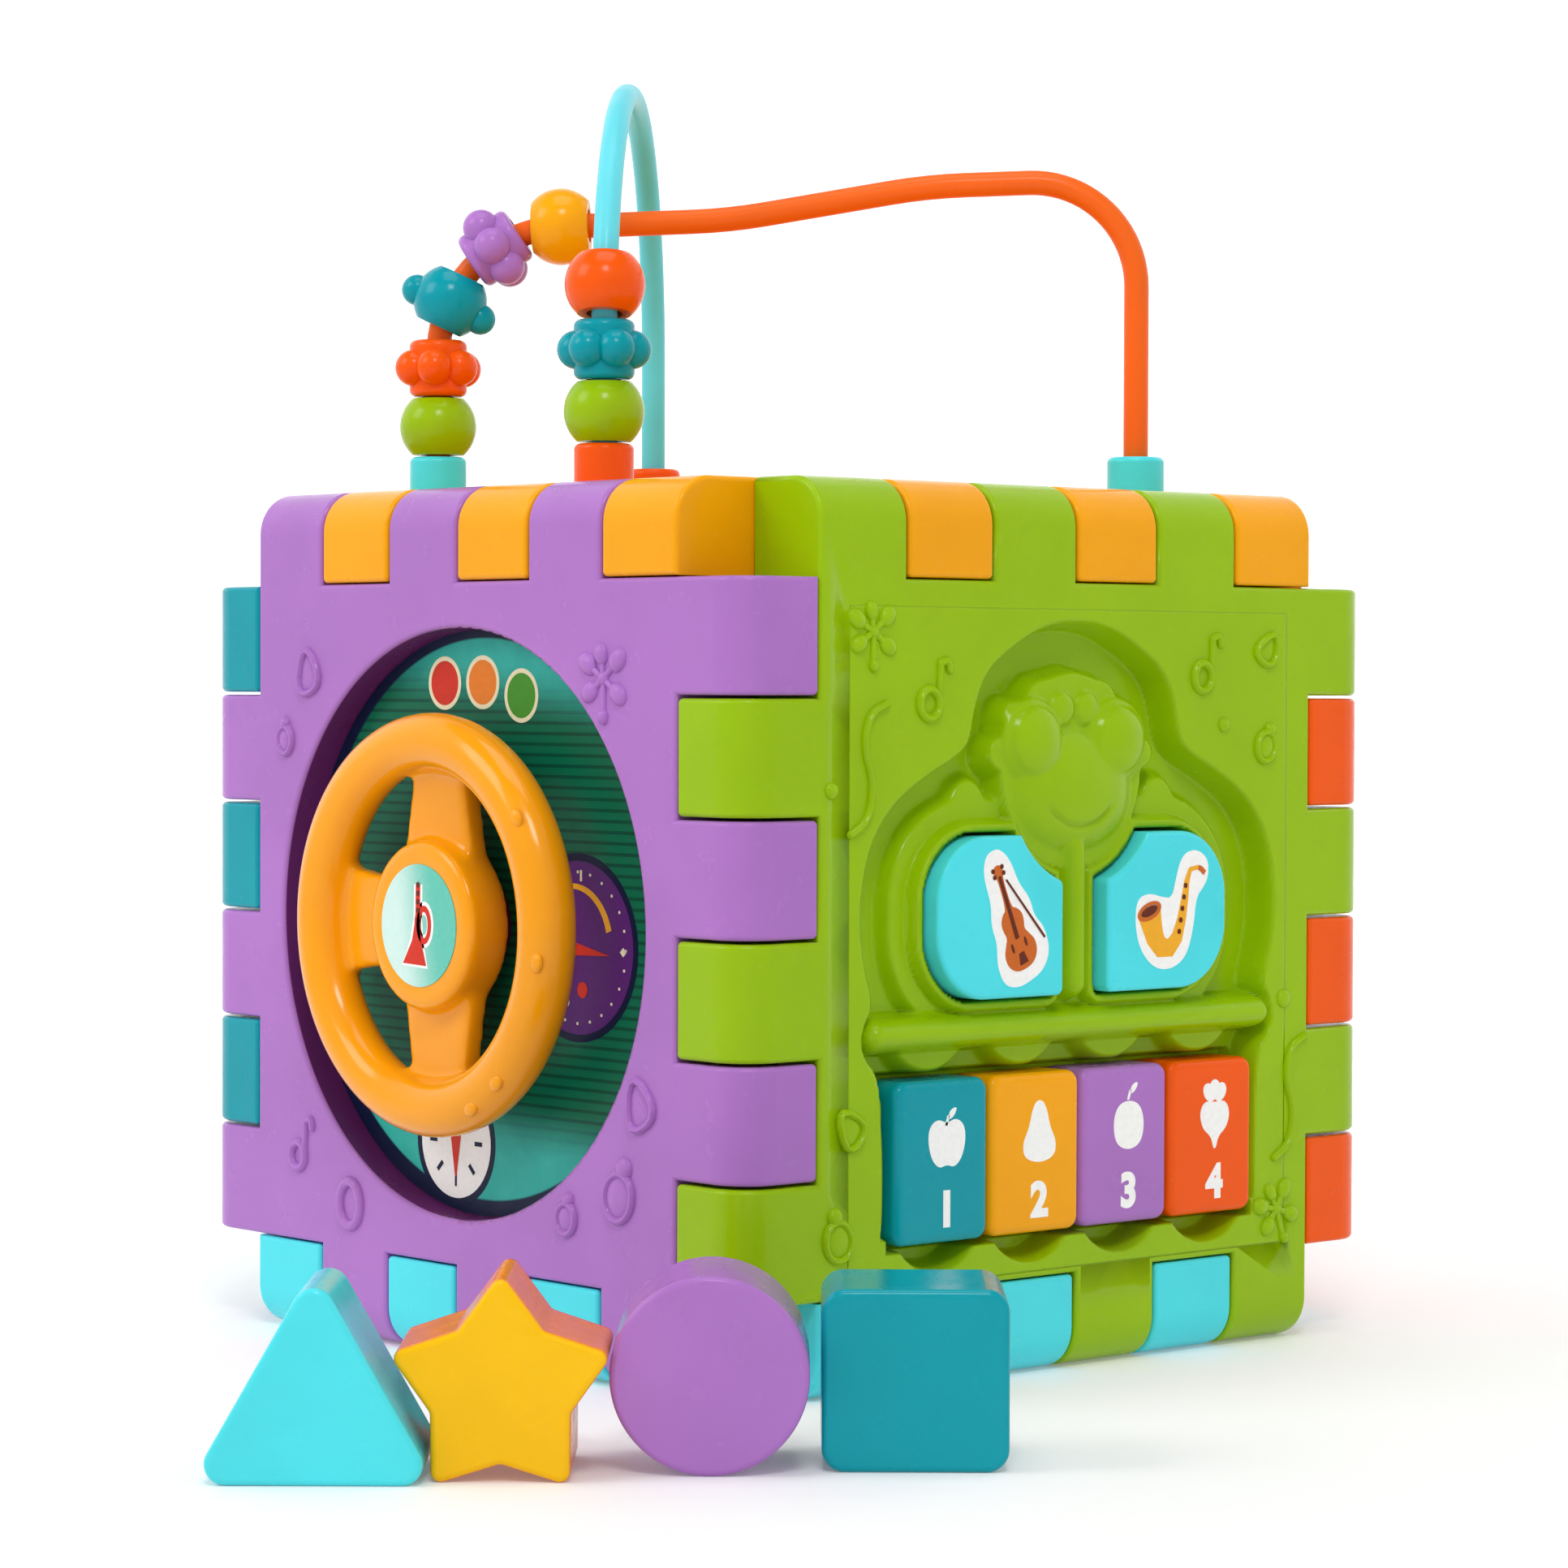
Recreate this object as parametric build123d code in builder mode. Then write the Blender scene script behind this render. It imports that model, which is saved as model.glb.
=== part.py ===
from build123d import *
import math
import os

os.makedirs("parts", exist_ok=True)

# A baby activity cube: six moulded panels whose edges interlock like fingers,
# a bead maze on the lid, and four loose shape blocks standing in front of it.
# The origin is the centre of the cube's base, +Z is up, the steering panel faces -Y.

# ------------------------------------------------------------ driving dimensions
CUBE = 175.0            # outside size of the cube
HALF = CUBE / 2
EDGE = 19.0             # width and depth of the interlocking edge
PLACES = 6              # finger places along one edge, every other one is the panel's own
PITCH = (CUBE - 2 * EDGE) / PLACES
GAP = 0.3               # play on each side of a finger
FINGER = PITCH - 2 * GAP
WALL = 2.4              # moulded wall thickness
ROUND = 8.5             # outside rounding of the cube's edges
SOFT = 1.0              # small rounding on the finger edges
CORE = CUBE - 2 * EDGE - 2 * GAP   # square core of a panel, between its fingers
INSIDE = CORE / 2 - WALL           # half the clear width inside a panel's skirt

FRONT = Plane(origin=(0, -HALF, HALF), x_dir=(1, 0, 0), z_dir=(0, -1, 0))
RIGHT = Plane(origin=(HALF, 0, HALF), x_dir=(0, 1, 0), z_dir=(1, 0, 0))
BACK = Plane(origin=(0, HALF, HALF), x_dir=(-1, 0, 0), z_dir=(0, 1, 0))
LEFT = Plane(origin=(-HALF, 0, HALF), x_dir=(0, -1, 0), z_dir=(-1, 0, 0))
TOP = Plane(origin=(0, 0, CUBE), x_dir=(1, 0, 0), z_dir=(0, 0, 1))
BASE = Plane(origin=(0, 0, 0), x_dir=(1, 0, 0), z_dir=(0, 0, -1))

SCREW_R = 1.3           # self-tapping screws
SCREW_HEAD_R = 2.8
SCREW_HEAD = 1.8
SLACK = 0.05            # radial play between a screw and its hole

# ------------------------------------------------------------------ panel blank


def finger_places():
    """Places of a panel's own three fingers along its top side."""
    return [(k - (PLACES - 1) / 2) * PITCH for k in range(0, PLACES, 2)]


def panel_outline(wall):
    """The core and its twelve fingers, drawn smaller all round by wall."""
    core = CORE - 2 * wall
    root = core / 2 - WALL
    tip = HALF - wall
    Rectangle(core, core)
    with PolarLocations(0, 4):
        with Locations(*[(x, (root + tip) / 2) for x in finger_places()]):
            Rectangle(FINGER - 2 * wall, tip - root)


def tip_edges(part, height):
    """The edges where the fingers' ends meet the outer face."""
    flat = part.edges().filter_by(lambda e: abs(e.center().Z - height) < 0.01)
    return flat.filter_by(lambda e: max(abs(e.center().X), abs(e.center().Y)) > CORE / 2 + WALL
                          and e.length > WALL and is_across_finger(e))


def is_across_finger(edge):
    """True for an edge that runs along the cube's edge, across a finger."""
    middle, along = edge.center(), edge % 0.5
    if abs(middle.X) > abs(middle.Y):
        return abs(along.Y) > 0.99
    return abs(along.X) > 0.99


def is_soft(edge):
    """True for an edge of the panel's outer side that is softened."""
    middle = edge.center()
    reach = max(abs(middle.X), abs(middle.Y))
    if edge.geom_type == GeomType.CIRCLE:
        return True
    if abs(middle.Z) < 0.01:
        return reach < CORE / 2 + WALL or not is_across_finger(edge)
    return abs(middle.Z + EDGE) < 0.01 and reach > CORE / 2 + SOFT


with BuildPart() as hollow:
    with BuildSketch(Plane.XY.offset(-EDGE)):
        panel_outline(WALL)
    extrude(amount=EDGE - WALL)
    fillet(tip_edges(hollow.part, -WALL), ROUND - WALL)

with BuildPart() as blank:
    with BuildSketch():
        panel_outline(0)
    extrude(amount=-EDGE)
    fillet(tip_edges(blank.part, 0), ROUND)
    fillet(blank.edges().filter_by(is_soft), SOFT)
    add(hollow.part, mode=Mode.SUBTRACT)

# -------------------------------------------------------------- steering panel

RECESS_R = 59.0         # round recess for the dashboard
RECESS = 7.0            # its depth
SHAFT_R = 5.0
SHAFT_PLAY = 0.05       # running clearance, radial
BOSS = 6.0              # length of the shaft's bearing boss behind the recess
RUN = 0.3               # air between a moving piece and a fixed one

with BuildPart() as steering_panel:
    with Locations(FRONT.location):
        add(blank.part)
    with BuildSketch(FRONT.offset(-WALL / 2)):
        Circle(RECESS_R + WALL)
    extrude(amount=-RECESS - WALL / 2)
    with BuildSketch(FRONT):
        Circle(RECESS_R)
    extrude(amount=-RECESS, mode=Mode.SUBTRACT)
    rim = steering_panel.edges().filter_by(GeomType.CIRCLE)
    rim = rim.filter_by(lambda e: abs(e.radius - RECESS_R) < 0.01 and e.center().Y < -HALF + 0.01)
    fillet(rim, SOFT)
    with BuildSketch(FRONT.offset(-RECESS)):
        Circle(SHAFT_R + 2 * WALL)
    extrude(amount=-WALL - BOSS)
    with BuildSketch(FRONT):
        Circle(SHAFT_R + SHAFT_PLAY)
    extrude(amount=-EDGE, mode=Mode.SUBTRACT)
steering_panel.part.label = "steering_panel"
export_step(steering_panel.part, "parts/steering_panel.step")

CARD = 0.4              # printed card thickness
with BuildPart() as dial_card:
    with BuildSketch(FRONT.offset(-RECESS)):
        Circle(RECESS_R - RUN)
        Circle(SHAFT_R + 2 * WALL, mode=Mode.SUBTRACT)
    extrude(amount=CARD)
dial_card.part.label = "dial_card"
export_step(dial_card.part, "parts/dial_card.step")

# -------------------------------------------------------------- steering wheel

WHEEL_R = 36.5          # centre line of the rim
RIM_R = 5.75            # radius of the rim's round section
RIM_OUT = 5.5           # rim centre, out from the panel's face
HUB_R = 17.0
HUB_TOP = 9.0
HUB_FOOT = -1.0
BADGE_R = 12.2
SPOKE_FACE = 4.6
SPOKES = {90: (24, 14), 180: (15, 23), 270: (24, 15)}     # angle: width at hub, at rim
WHEEL_SECTION = Plane(origin=FRONT.origin, x_dir=(1, 0, 0), z_dir=(0, 0, -1))
WHEEL_AXIS = Axis(FRONT.origin, (0, -1, 0))

with BuildSketch() as spokes:
    for angle, (at_hub, at_rim) in SPOKES.items():
        with BuildSketch(mode=Mode.PRIVATE) as spoke:
            Polygon((HUB_R - 8, -at_hub / 2), (WHEEL_R, -at_rim / 2),
                    (WHEEL_R, at_rim / 2), (HUB_R - 8, at_hub / 2), align=None)
        add(spoke.sketch.rotate(Axis.Z, angle))

with BuildPart() as steering_wheel:
    with BuildSketch(WHEEL_SECTION):
        with Locations((WHEEL_R, RIM_OUT)):
            Circle(RIM_R)
    revolve(axis=WHEEL_AXIS)
    with BuildSketch(FRONT.offset(HUB_FOOT + 1)):
        add(spokes.sketch)
    extrude(amount=SPOKE_FACE - HUB_FOOT - 1)
    with BuildSketch(FRONT.offset(HUB_FOOT)):
        Circle(HUB_R)
    extrude(amount=HUB_TOP - HUB_FOOT)
    hub_rim = steering_wheel.edges().filter_by(GeomType.CIRCLE)
    hub_rim = hub_rim.filter_by(lambda e: e.center().Y < -HALF - HUB_TOP + 0.01)
    fillet(hub_rim, 1.6)
    with BuildSketch(FRONT.offset(HUB_TOP)):
        Circle(BADGE_R + GAP / 2)
    extrude(amount=-CARD, mode=Mode.SUBTRACT)
    with BuildSketch(FRONT.offset(HUB_FOOT)):
        Circle(SHAFT_R + WALL)
    extrude(amount=-HUB_FOOT - RECESS + CARD + RUN)
    with BuildSketch(FRONT.offset(HUB_FOOT)):
        Circle(SHAFT_R)
    extrude(amount=-HUB_FOOT - RECESS - WALL - BOSS - RUN)
    with BuildSketch(FRONT.offset(-RECESS - WALL - BOSS - RUN)):
        Circle(SCREW_R + SLACK)
    extrude(amount=9, mode=Mode.SUBTRACT)
steering_wheel.part.label = "steering_wheel"
export_step(steering_wheel.part, "parts/steering_wheel.step")

with BuildPart() as wheel_badge:
    with BuildSketch(FRONT.offset(HUB_TOP - CARD)):
        Circle(BADGE_R)
    extrude(amount=CARD)
wheel_badge.part.label = "wheel_badge"
export_step(wheel_badge.part, "parts/wheel_badge.step")

WHEEL_END = RECESS + WALL + BOSS + RUN      # inner end of the shaft
with BuildPart() as wheel_washer:
    with BuildSketch(FRONT.offset(-WHEEL_END)):
        Circle(SHAFT_R + 3)
        Circle(SCREW_R + SLACK, mode=Mode.SUBTRACT)
    extrude(amount=-1.2)
wheel_washer.part.label = "wheel_washer"
export_step(wheel_washer.part, "parts/wheel_washer.step")


def screw(plane, length, head_r=SCREW_HEAD_R):
    """A pan-head screw: the plane is under its head and faces the way it is put in from."""
    with BuildPart() as made:
        with BuildSketch(plane):
            Circle(head_r)
        extrude(amount=SCREW_HEAD)
        with BuildSketch(plane.offset(SCREW_HEAD)):
            Rectangle(0.6, head_r * 1.2)
            Rectangle(head_r * 1.2, 0.6)
        extrude(amount=-SCREW_HEAD / 2, mode=Mode.SUBTRACT)
        with BuildSketch(plane):
            Circle(SCREW_R)
        extrude(amount=-length)
    return made.part


def turned(plane, depth, x=0, y=0):
    """A plane at depth below a panel's face that looks into the cube."""
    spot = plane.offset(-depth)
    return Plane(origin=spot.from_local_coords((x, y, 0)), x_dir=plane.x_dir,
                 z_dir=-plane.z_dir)


with BuildPart() as wheel_screw:
    add(screw(turned(FRONT, WHEEL_END + 1.2), 8))
wheel_screw.part.label = "wheel_screw"
export_step(wheel_screw.part, "parts/wheel_screw.step")

# ----------------------------------------------------------------- piano panel

POCKET = 7.0            # depth of the beetle-shaped pocket
FLOOR = POCKET + WALL   # depth of the underside of its floor
RAISED = 0.5            # depth of the beetle's back, which rises from the pocket floor
HEAD_V = 33.0           # height of the head's centre above the panel's centre
HEAD_R = 28.5           # pocket around the head
BODY_A, BODY_B = 58.0, 44.0   # half axes of the pocket around the wings
SHELF_V = -18.8         # height of the bar above the keys
SHELF_W = 114.0
SHELF_R = 3.2
KEY_W, KEY_H = 24.4, 31.4
KEY_PITCH = 25.0
KEY_V = -43.5           # height of the keys' centre
KEY_TOP = 1.6          # key faces, out from the panel's face
KEY_TRAVEL = 2.0
KEYS = ("teal", "yellow", "purple", "orange")
KEY_U = [(k - 1.5) * KEY_PITCH for k in range(4)]
KEY_ROOM_W = 104.0      # pocket around the keys
KEY_ROOM_LOW = -62.0
FLANGE = 1.3            # flange that keeps a key or button in
WING_IN, WING_OUT = 6.2, 40.2         # inner and outer side of a wing button
WING_LOW, WING_HIGH = -12.8, 18.8
WING_TOP = 2.8          # wing faces, out from the panel's face
WING_TRAVEL = 1.5
MUZZLE_V = 29.0         # centre of the arc that notches the wings around the muzzle
MUZZLE_R = 20.3
PLATE_A, PLATE_B = 45.5, 27.0   # half axes of the beetle's back


def pocket_outline(grow=0.0):
    """Head, wings, shelf and key room of the pocket, in the panel's plane."""
    with Locations((0, HEAD_V)):
        Circle(HEAD_R + grow)
    with BuildSketch(mode=Mode.PRIVATE) as body:
        Ellipse(BODY_A + grow, BODY_B + grow)
        with Locations((0, SHELF_V - BODY_B)):
            Rectangle(3 * BODY_A, 2 * BODY_B, mode=Mode.SUBTRACT)
    add(body.sketch)
    with Locations((0, SHELF_V)):
        RectangleRounded(SHELF_W + 2 * grow, 2 * SHELF_R + 4 + 2 * grow, SHELF_R + 1.5 + grow)
    with Locations((0, (SHELF_V + KEY_ROOM_LOW) / 2)):
        RectangleRounded(KEY_ROOM_W + 2 * grow, SHELF_V - KEY_ROOM_LOW + 2 * grow, 4 + grow)
    with Locations(*[(u, KEY_ROOM_LOW + 9) for u in KEY_U]):
        Circle(11 + grow)


def wing_outline(side, grow=0.0):
    """One wing button: rounded outer corners and a notch around the muzzle."""
    width, height = WING_OUT - WING_IN, WING_HIGH - WING_LOW
    centre_u, centre_v = side * (WING_IN + WING_OUT) / 2, (WING_LOW + WING_HIGH) / 2
    with BuildSketch(mode=Mode.PRIVATE) as wing:
        with Locations((centre_u, centre_v)):
            Rectangle(width, height)
        outer = wing.vertices().filter_by(lambda v: abs(v.X) > abs(centre_u))
        fillet(outer, 13)
        with Locations((0, MUZZLE_V)):
            Circle(MUZZLE_R, mode=Mode.SUBTRACT)
        fillet(wing.vertices().filter_by(lambda v: abs(v.X) < WING_IN + 0.01), 1.5)
        if grow:
            offset(amount=grow)
    add(wing.sketch)


def key_opening():
    """The opening in the pocket floor that the four keys stand in."""
    with Locations((0, KEY_V)):
        RectangleRounded(3 * KEY_PITCH + KEY_W + 2 * RUN, KEY_H + 2 * RUN, 3)


BOSS_SPOTS = [(x * (INSIDE - 5), y * (INSIDE - 5)) for x in (-1, 1) for y in (-1, 1)]

with BuildPart() as piano_panel:
    with Locations(RIGHT.location):
        add(blank.part)
    with BuildSketch(RIGHT.offset(-WALL / 2)):
        pocket_outline(WALL)
    extrude(amount=-FLOOR + WALL / 2)
    with BuildSketch(RIGHT):
        pocket_outline()
    extrude(amount=-POCKET, mode=Mode.SUBTRACT)
    # the beetle's back and head rise from the floor
    with BuildSketch(RIGHT.offset(-POCKET)):
        with BuildSketch(mode=Mode.PRIVATE) as back:
            Ellipse(PLATE_A, PLATE_B)
            with Locations((0, SHELF_V - PLATE_B)):
                Rectangle(3 * PLATE_A, 2 * PLATE_B, mode=Mode.SUBTRACT)
        add(back.sketch)
        with Locations((0, HEAD_V - 4)):
            Circle(22)
    extrude(amount=POCKET - RAISED)
    # shelf bar with four scallops hanging under it
    with BuildSketch(RIGHT.offset(-POCKET)):
        for u in KEY_U:
            with BuildSketch(mode=Mode.PRIVATE) as scallop:
                with Locations((u, SHELF_V + 4)):
                    Circle(12.3)
                with Locations((u, SHELF_V + 15)):
                    Rectangle(30, 30, mode=Mode.SUBTRACT)
            add(scallop.sketch)
    extrude(amount=POCKET - 2)
    with BuildSketch(Plane(origin=RIGHT.offset(-SHELF_R + 0.5).from_local_coords((0, SHELF_V, 0)),
                           x_dir=(1, 0, 0), z_dir=(0, 1, 0))):
        Circle(SHELF_R)
    extrude(amount=SHELF_W / 2 - SHELF_R, both=True)
    for side in (-1, 1):
        with Locations(RIGHT.offset(-SHELF_R + 0.5).from_local_coords(
                (side * (SHELF_W / 2 - SHELF_R), SHELF_V, 0))):
            Sphere(SHELF_R)
    with BuildSketch(RIGHT.offset(-POCKET)):
        with Locations((0, SHELF_V)):
            Rectangle(SHELF_W - 2 * SHELF_R, SHELF_R)
    extrude(amount=POCKET - SHELF_R)
    # domed eyes and muzzle
    for u, v, out, radius in ((-11.5, 37, -3.6, 8.6), (11.5, 37, -3.6, 8.6), (0, 29, -15, 17.5)):
        with Locations(RIGHT.offset(out).from_local_coords((u, v, 0))):
            Sphere(radius)
    with BuildSketch(RIGHT.offset(-FLOOR)):
        Rectangle(2 * INSIDE - 1, 2 * INSIDE - 1)
        for u, v in BOSS_SPOTS:
            with Locations((u, v)):
                Rectangle(2 * WALL, 2 * WALL, mode=Mode.SUBTRACT)
    extrude(amount=-2 * EDGE, mode=Mode.SUBTRACT)
    # openings for the keys and the wing buttons
    with BuildSketch(RIGHT.offset(RECESS)):
        key_opening()
        wing_outline(-1, RUN)
        wing_outline(1, RUN)
    extrude(amount=-RECESS - EDGE, mode=Mode.SUBTRACT)
    # bosses for the back cover's screws
    with BuildSketch(RIGHT.offset(-WALL / 2)):
        with Locations(*BOSS_SPOTS):
            Circle(4)
    extrude(amount=-EDGE + WALL / 2)
    with BuildSketch(RIGHT.offset(-EDGE)):
        with Locations(*BOSS_SPOTS):
            Circle(SCREW_R + SLACK)
    extrude(amount=10, mode=Mode.SUBTRACT)
piano_panel.part.label = "piano_panel"
export_step(piano_panel.part, "parts/piano_panel.step")

POST_R = 3.0            # plunger under a key or button
POST_END = 12.6         # depth of its end

for name, u in zip(KEYS, KEY_U):
    with BuildPart() as key:
        with BuildSketch(RIGHT.offset(KEY_TOP)):
            with Locations((u, KEY_V)):
                RectangleRounded(KEY_W, KEY_H, 2.6)
        extrude(amount=-FLOOR - RUN - FLANGE - KEY_TOP)
        fillet(key.faces().sort_by(Axis.X)[-1].edges(), 1.8)
        with BuildSketch(RIGHT.offset(-FLOOR - RUN)):
            with Locations((u, KEY_V)):
                Rectangle(KEY_W, KEY_H + 2 * FLANGE + 2 * RUN)
        extrude(amount=-FLANGE)
        with BuildSketch(RIGHT.offset(-FLOOR - RUN - FLANGE)):
            with Locations((u, KEY_V)):
                Rectangle(KEY_W - 2 * WALL, KEY_H - 2 * WALL)
        extrude(amount=FLOOR + RUN + FLANGE + KEY_TOP - WALL, mode=Mode.SUBTRACT)
        with BuildSketch(RIGHT.offset(KEY_TOP - WALL / 2)):
            with Locations((u, KEY_V)):
                Circle(POST_R)
        extrude(amount=-POST_END - KEY_TOP + WALL / 2)
    key.part.label = f"key_{name}"
    export_step(key.part, f"parts/key_{name}.step")

for name, side in (("left", -1), ("right", 1)):
    with BuildPart() as wing_button:
        with BuildSketch(RIGHT.offset(WING_TOP)):
            wing_outline(side)
        extrude(amount=-FLOOR - RUN - FLANGE - WING_TOP)
        fillet(wing_button.faces().sort_by(Axis.X)[-1].edges(), 1.0)
        with BuildSketch(RIGHT.offset(-FLOOR - RUN)):
            wing_outline(side, RUN + FLANGE)
        extrude(amount=-FLANGE)
        with BuildSketch(RIGHT.offset(-FLOOR - RUN - FLANGE)):
            wing_outline(side, -WALL)
        extrude(amount=FLOOR + RUN + FLANGE + WING_TOP - WALL, mode=Mode.SUBTRACT)
        with BuildSketch(RIGHT.offset(WING_TOP - WALL / 2)):
            with Locations((side * (WING_IN + WING_OUT) / 2, 0)):
                Circle(POST_R)
        extrude(amount=-POST_END - WING_TOP + WALL / 2)
    wing_button.part.label = f"wing_button_{name}"
    export_step(wing_button.part, f"parts/wing_button_{name}.step")

# ------------------------------------------------------- inside the piano panel

PAD = 0.8
PAD_AT = 16.2           # depth of the pad's face
BOARD = 1.4
DOME_R = 3.5
DOME = 1.2
PLUNGERS = [(u, KEY_V) for u in KEY_U] + [(s * (WING_IN + WING_OUT) / 2, 0) for s in (-1, 1)]
BOARD_W, BOARD_LOW, BOARD_HIGH = 110.0, -59.0, 20.0

with BuildPart() as key_pad:
    with BuildSketch(RIGHT.offset(-PAD_AT)):
        with Locations((0, (BOARD_LOW + BOARD_HIGH) / 2)):
            RectangleRounded(BOARD_W - 4, BOARD_HIGH - BOARD_LOW - 4, 3)
    extrude(amount=-PAD)
    for u, v in PLUNGERS:
        with BuildSketch(RIGHT.offset(-PAD_AT)):
            with Locations((u, v)):
                Circle(DOME_R)
        extrude(amount=DOME, taper=20)
key_pad.part.label = "key_pad"
export_step(key_pad.part, "parts/key_pad.step")

with BuildPart() as circuit_board:
    with BuildSketch(RIGHT.offset(-PAD_AT - PAD)):
        with Locations((0, (BOARD_LOW + BOARD_HIGH) / 2)):
            RectangleRounded(BOARD_W, BOARD_HIGH - BOARD_LOW, 2)
    extrude(amount=-BOARD)
    with BuildSketch(RIGHT.offset(-PAD_AT - PAD - BOARD)):
        with Locations((20, 10), (36, -6)):
            Rectangle(9, 9)
        with Locations((8, -8)):
            Circle(3)
    extrude(amount=-1.5)
circuit_board.part.label = "circuit_board"
export_step(circuit_board.part, "parts/circuit_board.step")

COVER = 2.0             # back cover's wall
TRAY_W, TRAY_LOW, TRAY_HIGH = 112.0, -60.0, 40.0
TRAY = 40.0             # depth of the tray's floor
SPEAKER_SPOT = (-30, 14)
SPEAKER_R = 18.0
CELL_R, CELL = 5.2, 44.0
CELL_PITCH = 11.4
WELL_SPOT = (6, -40)    # centre of the battery well
WELL_W, WELL_H, WELL_DEEP = 56.0, 26.0, 13.5
DOOR_W, DOOR_H = 72.0, 32.0
DOOR_SCREW = (WELL_SPOT[0] + DOOR_W / 2 - 4, WELL_SPOT[1])
SWITCH_SPOT = (34, 14)
SWITCH_TRAVEL = 4.0

with BuildPart() as piano_back_cover:
    with BuildSketch(RIGHT.offset(-EDGE - 0.1)):
        RectangleRounded(CORE - 3, CORE - 3, 3)
    extrude(amount=-COVER)
    with BuildSketch(RIGHT.offset(-EDGE - 0.1)):
        with Locations((0, (TRAY_LOW + TRAY_HIGH) / 2)):
            RectangleRounded(TRAY_W, TRAY_HIGH - TRAY_LOW, 5)
    extrude(amount=-TRAY + EDGE + 0.1)
    with BuildSketch(RIGHT.offset(-EDGE - 0.1)):
        with Locations((0, (TRAY_LOW + TRAY_HIGH) / 2)):
            RectangleRounded(TRAY_W - 2 * COVER, TRAY_HIGH - TRAY_LOW - 2 * COVER, 3)
    extrude(amount=-TRAY + EDGE + 0.1 + COVER, mode=Mode.SUBTRACT)
    with BuildSketch(RIGHT.offset(-TRAY)):
        with Locations(WELL_SPOT):
            Rectangle(WELL_W + 2 * COVER, WELL_H + 2 * COVER)
    extrude(amount=WELL_DEEP + COVER)
    with BuildSketch(RIGHT.offset(-TRAY)):
        with Locations(DOOR_SCREW):
            Circle(4)
    extrude(amount=WELL_DEEP)
    with BuildSketch(RIGHT.offset(-TRAY)):
        with Locations(WELL_SPOT):
            Rectangle(WELL_W, WELL_H)
    extrude(amount=WELL_DEEP, mode=Mode.SUBTRACT)
    with BuildSketch(RIGHT.offset(-TRAY)):
        with Locations(DOOR_SCREW):
            Circle(SCREW_R + SLACK)
        with Locations(SPEAKER_SPOT):
            Circle(1.5)
            with PolarLocations(6, 6):
                Circle(1.5)
            with PolarLocations(12, 12):
                Circle(1.5)
        with Locations(SWITCH_SPOT):
            SlotOverall(8 + SWITCH_TRAVEL + 1, 5)
    extrude(amount=8, mode=Mode.SUBTRACT)
    with BuildSketch(RIGHT.offset(-EDGE)):
        with Locations(*BOSS_SPOTS):
            Circle(SCREW_R + SLACK)
    extrude(amount=-2 * COVER, mode=Mode.SUBTRACT)
piano_back_cover.part.label = "piano_back_cover"
export_step(piano_back_cover.part, "parts/piano_back_cover.step")

with BuildPart() as cover_screws:
    for u, v in BOSS_SPOTS:
        add(screw(turned(RIGHT, EDGE + 0.1 + COVER, u, v), 9))
cover_screws.part.label = "cover_screws"
export_step(cover_screws.part, "parts/cover_screws.step")

with BuildPart() as speaker:
    spot = Plane(origin=RIGHT.offset(-TRAY + COVER).from_local_coords((*SPEAKER_SPOT, 0)),
                 x_dir=RIGHT.x_dir, z_dir=RIGHT.z_dir)
    with BuildSketch(spot):
        Circle(SPEAKER_R)
        Circle(SPEAKER_R - 3, mode=Mode.SUBTRACT)
    extrude(amount=1.5)
    with BuildSketch(spot.offset(1.5)):
        Circle(SPEAKER_R)
    extrude(amount=2.5)
    with BuildSketch(spot.offset(4)):
        Circle(SPEAKER_R * 0.55)
    extrude(amount=5)
speaker.part.label = "speaker"
export_step(speaker.part, "parts/speaker.step")

CELL_AT = TRAY - CELL_R - 0.4
with BuildPart() as batteries:
    for row, way in ((-0.5, 1), (0.5, -1)):
        middle = RIGHT.offset(-CELL_AT).from_local_coords(
            (WELL_SPOT[0], WELL_SPOT[1] + row * CELL_PITCH, 0))
        with Locations(Plane(origin=middle, x_dir=(1, 0, 0), z_dir=(0, way, 0)).location):
            Cylinder(CELL_R, CELL)
            with Locations((0, 0, CELL / 2 + 0.4)):
                Cylinder(1.9, 0.8)
batteries.part.label = "batteries"
export_step(batteries.part, "parts/batteries.step")

with BuildPart() as battery_contacts:
    for side in (-1, 1):
        with BuildSketch(RIGHT.offset(-CELL_AT + 4)):
            with Locations((WELL_SPOT[0] + side * (WELL_W / 2 - 0.3), WELL_SPOT[1])):
                Rectangle(0.6, WELL_H - 4)
        extrude(amount=-8)
        middle = RIGHT.offset(-CELL_AT).from_local_coords(
            (WELL_SPOT[0] + side * (WELL_W / 2 - 0.6), WELL_SPOT[1] + side * CELL_PITCH / 2, 0))
        with Locations(Plane(origin=middle, x_dir=(1, 0, 0), z_dir=(0, -side, 0)).location):
            Cone(4.2, 2.2, WELL_W / 2 - CELL / 2 - 0.7, align=(Align.CENTER, Align.CENTER, Align.MIN))
battery_contacts.part.label = "battery_contacts"
export_step(battery_contacts.part, "parts/battery_contacts.step")

DOOR = 1.8
with BuildPart() as battery_door:
    with BuildSketch(RIGHT.offset(-TRAY)):
        with Locations((WELL_SPOT[0], WELL_SPOT[1])):
            RectangleRounded(DOOR_W, DOOR_H, 3)
        with Locations(DOOR_SCREW):
            Circle(SCREW_R + SLACK, mode=Mode.SUBTRACT)
    extrude(amount=-DOOR)
battery_door.part.label = "battery_door"
export_step(battery_door.part, "parts/battery_door.step")

with BuildPart() as battery_door_screw:
    add(screw(turned(RIGHT, TRAY + DOOR, *DOOR_SCREW), 8))
battery_door_screw.part.label = "battery_door_screw"
export_step(battery_door_screw.part, "parts/battery_door_screw.step")

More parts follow.
